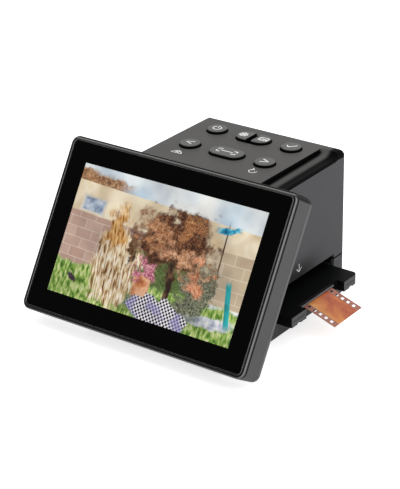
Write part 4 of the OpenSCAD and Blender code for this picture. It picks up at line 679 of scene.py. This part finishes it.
def strokeTree():
    # sweeps a flat section along every line of the mesh, with rounded corners
    tree, given = startTree("printedStroke", [("Line Width", "Float"), ("Ink Height", "Float"),
                                              ("Corner Radius", "Float"), ("Ink", "Material")])
    lines = addNode(tree, "GeometryNodeMeshToCurve", None, {"Mesh": given["Geometry"]})
    corners = addNode(tree, "GeometryNodeFilletCurve", {"mode": "POLY", "Count": 4, "Limit Radius": True},
                      {"Curve": lines, "Radius": given["Corner Radius"]})
    upright = addNode(tree, "GeometryNodeSetCurveNormal", {"mode": "Z_UP"}, {"Curve": corners})
    section = addNode(tree, "GeometryNodeCurvePrimitiveQuadrilateral", {"mode": "RECTANGLE"},
                      {"Width": given["Line Width"], "Height": given["Ink Height"]})
    sweep = addNode(tree, "GeometryNodeCurveToMesh", {"Fill Caps": True},
                    {"Curve": upright, "Profile Curve": section})
    return endTree(tree, sweep, given["Ink"])


def legsTree():
    # stands a small leg at every pitch along the outline of a chip
    tree, given = startTree("chipLegs", [("Pitch", "Float"), ("Leg Size", "Vector"), ("Metal", "Material")])
    outline = addNode(tree, "GeometryNodeMeshToCurve", None, {"Mesh": given["Geometry"]})
    spots = addNode(tree, "GeometryNodeCurveToPoints", {"mode": "LENGTH"},
                    {"Curve": outline, "Length": given["Pitch"]})
    leg = addNode(tree, "GeometryNodeMeshCube", None, {"Size": given["Leg Size"]})
    legs = addNode(tree, "GeometryNodeInstanceOnPoints", None,
                   {"Points": spots, "Instance": leg, "Rotation": spots.outputs["Rotation"]})
    return endTree(tree, legs, given["Metal"])


printedStroke, chipLegs = strokeTree(), legsTree()


def runTree(name, tree, mesh, inputs, place):
    # runs a node tree on a mesh and gives back a plain mesh at its place
    source = bpy.data.objects.new(name + "_source", mesh)
    bpy.context.scene.collection.objects.link(source)
    modifier = source.modifiers.new("make", "NODES")
    modifier.node_group = tree
    for item in tree.interface.items_tree:
        if item.in_out == "INPUT" and item.name in inputs:
            modifier[item.identifier] = inputs[item.name]
    evaluated = source.evaluated_get(bpy.context.evaluated_depsgraph_get())
    result = bpy.data.meshes.new_from_object(evaluated)
    result.name = name
    result.transform(place)
    source.modifiers.remove(modifier)
    bpy.data.objects.remove(source)
    return result


def lineMesh(lines):
    # each line is a list of points in millimetres; it closes if its last point is its first
    mesh = bpy.data.meshes.new("lines")
    points, edges = [], []
    for line in lines:
        closed = len(line) > 2 and line[0] == line[-1]
        start = len(points)
        own = line[:-1] if closed else line
        points += [(x / 1000, y / 1000, 0) for x, y in own]
        edges += [(start + i, start + i + 1) for i in range(len(own) - 1)]
        if closed:
            edges.append((start + len(own) - 1, start))
    mesh.from_pydata(points, edges, [])
    return mesh


def arc(radius, start, end, steps=20):
    angles = [math.radians(start + (end - start) * i / steps) for i in range(steps + 1)]
    return [(radius * math.cos(angle), radius * math.sin(angle)) for angle in angles]


def ring(radius):
    points = arc(radius, 0, 360)
    return points[:-1] + [points[0]]


def gear(inner, outer, teeth):
    points = []
    for tooth in range(teeth):
        for turn, radius in ((-0.28, inner), (-0.17, outer), (0.17, outer), (0.28, inner)):
            angle = 2 * math.pi * (tooth + turn) / teeth
            points.append((radius * math.cos(angle), radius * math.sin(angle)))
    return points + [points[0]]


# Printed pictograms, in millimetres about their own middle, X right and Y away from the user
ink = {"lineWidth": 0.9, "height": 0.03, "cornerRadius": 0.25, "lift": 0.00002}
pictograms = {
    "power": [arc(3.1, 124, 416), [(0, 0.6), (0, 4.0)]],
    "gear": [gear(2.1, 3.1, 8), ring(0.9)],
    "picture": [[(-3.3, -2.4), (3.3, -2.4), (3.3, 2.4), (-3.3, 2.4), (-3.3, -2.4)],
                [(-2.6, -1.4), (-0.9, 0.7), (0.4, -0.7), (1.3, 0.3), (2.6, -1.4)]],
    "check": [[(-3.4, 0.2), (-1.0, -2.3), (3.6, 2.7)]],
    "back": [[(2.6, 2.6), (-3.0, 0.0), (2.6, -2.6)]],
    "forward": [[(-2.6, 2.6), (3.0, 0.0), (-2.6, -2.6)]],
    "scan": [[(-7.6, 0.6), (-7.6, 2.6), (-4.6, 2.6)], [(7.6, 0.6), (7.6, 2.6), (4.6, 2.6)],
             [(-7.6, -0.6), (-7.6, -2.6), (-4.6, -2.6)], [(7.6, -0.6), (7.6, -2.6), (4.6, -2.6)],
             [(-5.2, 0), (5.2, 0)]],
    "mirror": [[(-4.5, -2.1), (-1.1, -2.1), (-1.1, 2.1), (-4.5, -2.1)],
               [(4.5, -2.1), (1.1, -2.1), (1.1, 2.1), (4.5, -2.1)], [(0, -2.8), (0, 2.8)]],
    "turn": [arc(2.8, 100, 350), [(-2.4, 4.2), (-0.2, 2.8), (-2.1, 1.1)],
             [(1.5, -0.5), (2.8, -0.5), (2.8, 1.1)]],
    "insert": [[(0, 3.0), (0, -2.6)], [(-2.9, -0.4), (0, -3.0), (2.9, -0.4)]],
}


def printPictogram(drawing, name, body, origin, right, up, lineWidth=ink["lineWidth"]):
    # lays a pictogram on a face whose X and Y directions are right and up
    out = right.cross(up)
    place = Matrix((right, up, out)).transposed().to_4x4()
    place.translation = origin + out * (ink["height"] / 2000 + ink["lift"])
    inputs = {"Line Width": lineWidth / 1000, "Ink Height": ink["height"] / 1000,
              "Corner Radius": ink["cornerRadius"] / 1000, "Ink": surfaces["screenPrintedInk"]}
    mesh = runTree(name, printedStroke, lineMesh(pictograms[drawing]), inputs, place)
    addPiece(name, mesh, body)


keyPrints = {"power_button": ("power_key", "power"), "menu_button": ("menu_key", "gear"),
             "gallery_button": ("gallery_key", "picture"), "ok_button": ("ok_key", "check"),
             "previous_button": ("previous_key", "back"), "scan_button": ("scan_key", "scan"),
             "next_button": ("next_key", "forward")}
for node, (body, drawing) in keyPrints.items():
    low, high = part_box(node)
    middle = Vector(((low.x + high.x) / 2, (low.y + high.y) / 2, high.z))
    printPictogram(drawing, drawing + "_print", body, middle, toX, toY)

# The two hints in front of the arrow keys, and the arrow beside the slot
hints = {"forward": 0.0148, "lineWidth": 0.65,
         "drawings": [("previous_button", "mirror", 0.0), ("next_button", "turn", 0.0002)]}
for node, drawing, aside in hints["drawings"]:
    low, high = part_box(node)
    middle = Vector(((low.x + high.x) / 2 + aside, (low.y + high.y) / 2 - hints["forward"], deckHigh.z))
    printPictogram(drawing, drawing + "_print", "case", middle, toX, toY, hints["lineWidth"])
arrow = {"height": 0.0434, "aside": 0.002, "lineWidth": 0.5}
arrowPlace = Vector((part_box("upper_housing")[1].x, (trayLow.y + trayHigh.y) / 2 - arrow["aside"],
                     arrow["height"]))
printPictogram("insert", "insert_arrow_print", "case", arrowPlace, toY, toZ, arrow["lineWidth"])
print("pictograms printed")


# Tinned legs round the chips, 1 mm apart: how far they reach out, and how far they lie under the chip's top
legs = {"pitch": 0.001, "size": (0.0005, 0.0003, 0.0004), "reach": 0.0002, "under": 0.00005}


def chipCorners(node):
    # the corners of each separate chip of a node, from its mesh
    build = bmesh.new()
    build.from_mesh(cadNodes[node].data)
    bmesh.ops.remove_doubles(build, verts=build.verts, dist=1e-7)
    left, chips = set(build.verts), []
    while left:
        group, queue = set(), [left.pop()]
        while queue:
            vert = queue.pop()
            group.add(vert)
            for edge in vert.link_edges:
                other = edge.other_vert(vert)
                if other in left:
                    left.discard(other)
                    queue.append(other)
        chips.append([v.co.copy() for v in group])
    build.free()
    return chips


def addLegs(node, body, plane):
    back = plane.inverted()
    for index, corners in enumerate(chipCorners(node)):
        local = [back @ c for c in corners]
        lowX, highX = min(c.x for c in local) - legs["reach"], max(c.x for c in local) + legs["reach"]
        lowY, highY = min(c.y for c in local) - legs["reach"], max(c.y for c in local) + legs["reach"]
        z = max(c.z for c in local) - legs["size"][2] / 2 - legs["under"]
        outline = [(lowX, lowY), (highX, lowY), (highX, highY), (lowX, highY), (lowX, lowY)]
        mesh = lineMesh([[(x * 1000, y * 1000) for x, y in outline]])
        inputs = {"Pitch": legs["pitch"], "Leg Size": legs["size"], "Metal": surfaces["tinnedCopper"]}
        name = node + "_legs_" + str(index)
        made = runTree(name, chipLegs, mesh, inputs, plane @ Matrix.Translation((0, 0, z)))
        addPiece(name, made, body)


addLegs("processor_chips", "case", Matrix.Identity(4))
addLegs("display_chips", "display", facePlane("display_board", displayFacing))
print("chip legs set")


def anyRay(tree, kinds):
    # 1 for a ray of any of the kinds given, else 0
    ray = addNode(tree, "ShaderNodeLightPath")
    seen = ray.outputs[kinds[0]]
    for kind in kinds[1:]:
        seen = addNode(tree, "ShaderNodeMath", {"operation": "MAXIMUM"}, {0: seen, 1: ray.outputs[kind]})
    return seen


floorLook = {"colour": "#f2f2f2", "glow": 0.72, "reach": 4.0, "below": 0.0002}


def studioFloor():
    # pale matt floor: it shows white to the camera and keeps the soft shadow
    mesh = bpy.data.meshes.new("studio_floor")
    reach = floorLook["reach"]
    corners = [(-reach, -reach, 0), (reach, -reach, 0), (reach, reach, 0), (-reach, reach, 0)]
    mesh.from_pydata(corners, [], [(0, 1, 2, 3)])
    floor = bpy.data.objects.new("studio_floor", mesh)
    bpy.context.scene.collection.objects.link(floor)
    floor.location.z = -floorLook["below"]
    material = bpy.data.materials.new("paleFloor")
    material.use_nodes = True
    tree = material.node_tree
    tree.nodes.clear()
    matt = addNode(tree, "ShaderNodeBsdfDiffuse", {"Color": linearColour(floorLook["colour"])})
    glow = addNode(tree, "ShaderNodeEmission", {"Color": (1, 1, 1, 1), "Strength": floorLook["glow"]})
    lit = addNode(tree, "ShaderNodeAddShader", None, {0: matt, 1: glow})
    seen = anyRay(tree, ["Is Camera Ray", "Is Glossy Ray"])
    mixed = addNode(tree, "ShaderNodeMixShader", None, {0: seen, 1: matt, 2: lit})
    addNode(tree, "ShaderNodeOutputMaterial", None, {"Surface": mixed})
    mesh.materials.append(material)


studio = {"skyColour": "#ffffff", "skyStrength": 0.55,
          "lamps": [
              {"name": "overheadSoftbox", "place": (0.5, -0.2, 1.5), "aim": (0.0, 0.0, 0.05), "size": 1.4,
               "watts": 9.0},
              {"name": "keySpot", "place": (0.0, -0.43, 1.3), "aim": (0.0, 0.0, 0.1), "size": 0.3,
               "watts": 2.5},
              {"name": "rightSoftbox", "place": (1.5, 0.3, 0.7), "aim": (0.0, 0.0, 0.06), "size": 1.0,
               "watts": 6.0},
          ]}


def studioWorld():
    # soft even sky on the object, white behind it
    world = bpy.data.worlds.new("studio")
    bpy.context.scene.world = world
    world.use_nodes = True
    tree = world.node_tree
    tree.nodes.clear()
    seen = anyRay(tree, ["Is Camera Ray", "Is Glossy Ray", "Is Transmission Ray"])
    sky = addNode(tree, "ShaderNodeBackground", {"Color": linearColour(studio["skyColour"]),
                                                 "Strength": studio["skyStrength"]})
    white = addNode(tree, "ShaderNodeBackground", {"Color": (1, 1, 1, 1), "Strength": 1.0})
    mixed = addNode(tree, "ShaderNodeMixShader", None, {0: seen, 1: sky, 2: white})
    addNode(tree, "ShaderNodeOutputWorld", None, {"Surface": mixed})


def studioLamps():
    for lamp in studio["lamps"]:
        light = bpy.data.lights.new(lamp["name"], "AREA")
        light.shape = "RECTANGLE"
        light.size = light.size_y = lamp["size"]
        light.energy = lamp["watts"]
        holder = bpy.data.objects.new(lamp["name"], light)
        bpy.context.scene.collection.objects.link(holder)
        place = Vector(lamp["place"])
        holder.location = place
        holder.rotation_euler = (Vector(lamp["aim"]) - place).to_track_quat("-Z", "Y").to_euler()


# Where the camera stands, in metres from the middle of the deck's back edge and from the floor, and how it
# looks: turned 36 degrees to the right side and 25 degrees down
cameraSetup = {"fromDeck": (0.6583, -0.97235, 0.5724), "azimuth": 36.44, "elevation": 25.12, "roll": -1.05,
               "lens": 130.23, "sensorHeight": 36.0, "clip": (0.05, 20)}


def studioCamera():
    azimuth, elevation, roll = (math.radians(cameraSetup[k]) for k in ("azimuth", "elevation", "roll"))
    back = Vector((math.sin(azimuth) * math.cos(elevation), -math.cos(azimuth) * math.cos(elevation),
                   math.sin(elevation)))
    right = Vector((math.cos(azimuth), math.sin(azimuth), 0))
    up = back.cross(right)
    turnedRight = right * math.cos(roll) + up * math.sin(roll)
    turnedUp = up * math.cos(roll) - right * math.sin(roll)
    data = bpy.data.cameras.new("studioCamera")
    data.sensor_fit = "VERTICAL"
    data.sensor_height = cameraSetup["sensorHeight"]
    data.lens = cameraSetup["lens"]
    data.clip_start, data.clip_end = cameraSetup["clip"]
    camera = bpy.data.objects.new("studioCamera", data)
    bpy.context.scene.collection.objects.link(camera)
    stand = Matrix((turnedRight, turnedUp, back)).transposed().to_4x4()
    deckBack = Vector(((deckLow.x + deckHigh.x) / 2, deckHigh.y, 0))
    stand.translation = deckBack + Vector(cameraSetup["fromDeck"])
    camera.matrix_world = stand
    bpy.context.scene.camera = camera


studioFloor()
studioWorld()
studioLamps()
studioCamera()
bpy.context.scene.view_settings.view_transform = "Standard"
print("studio set")
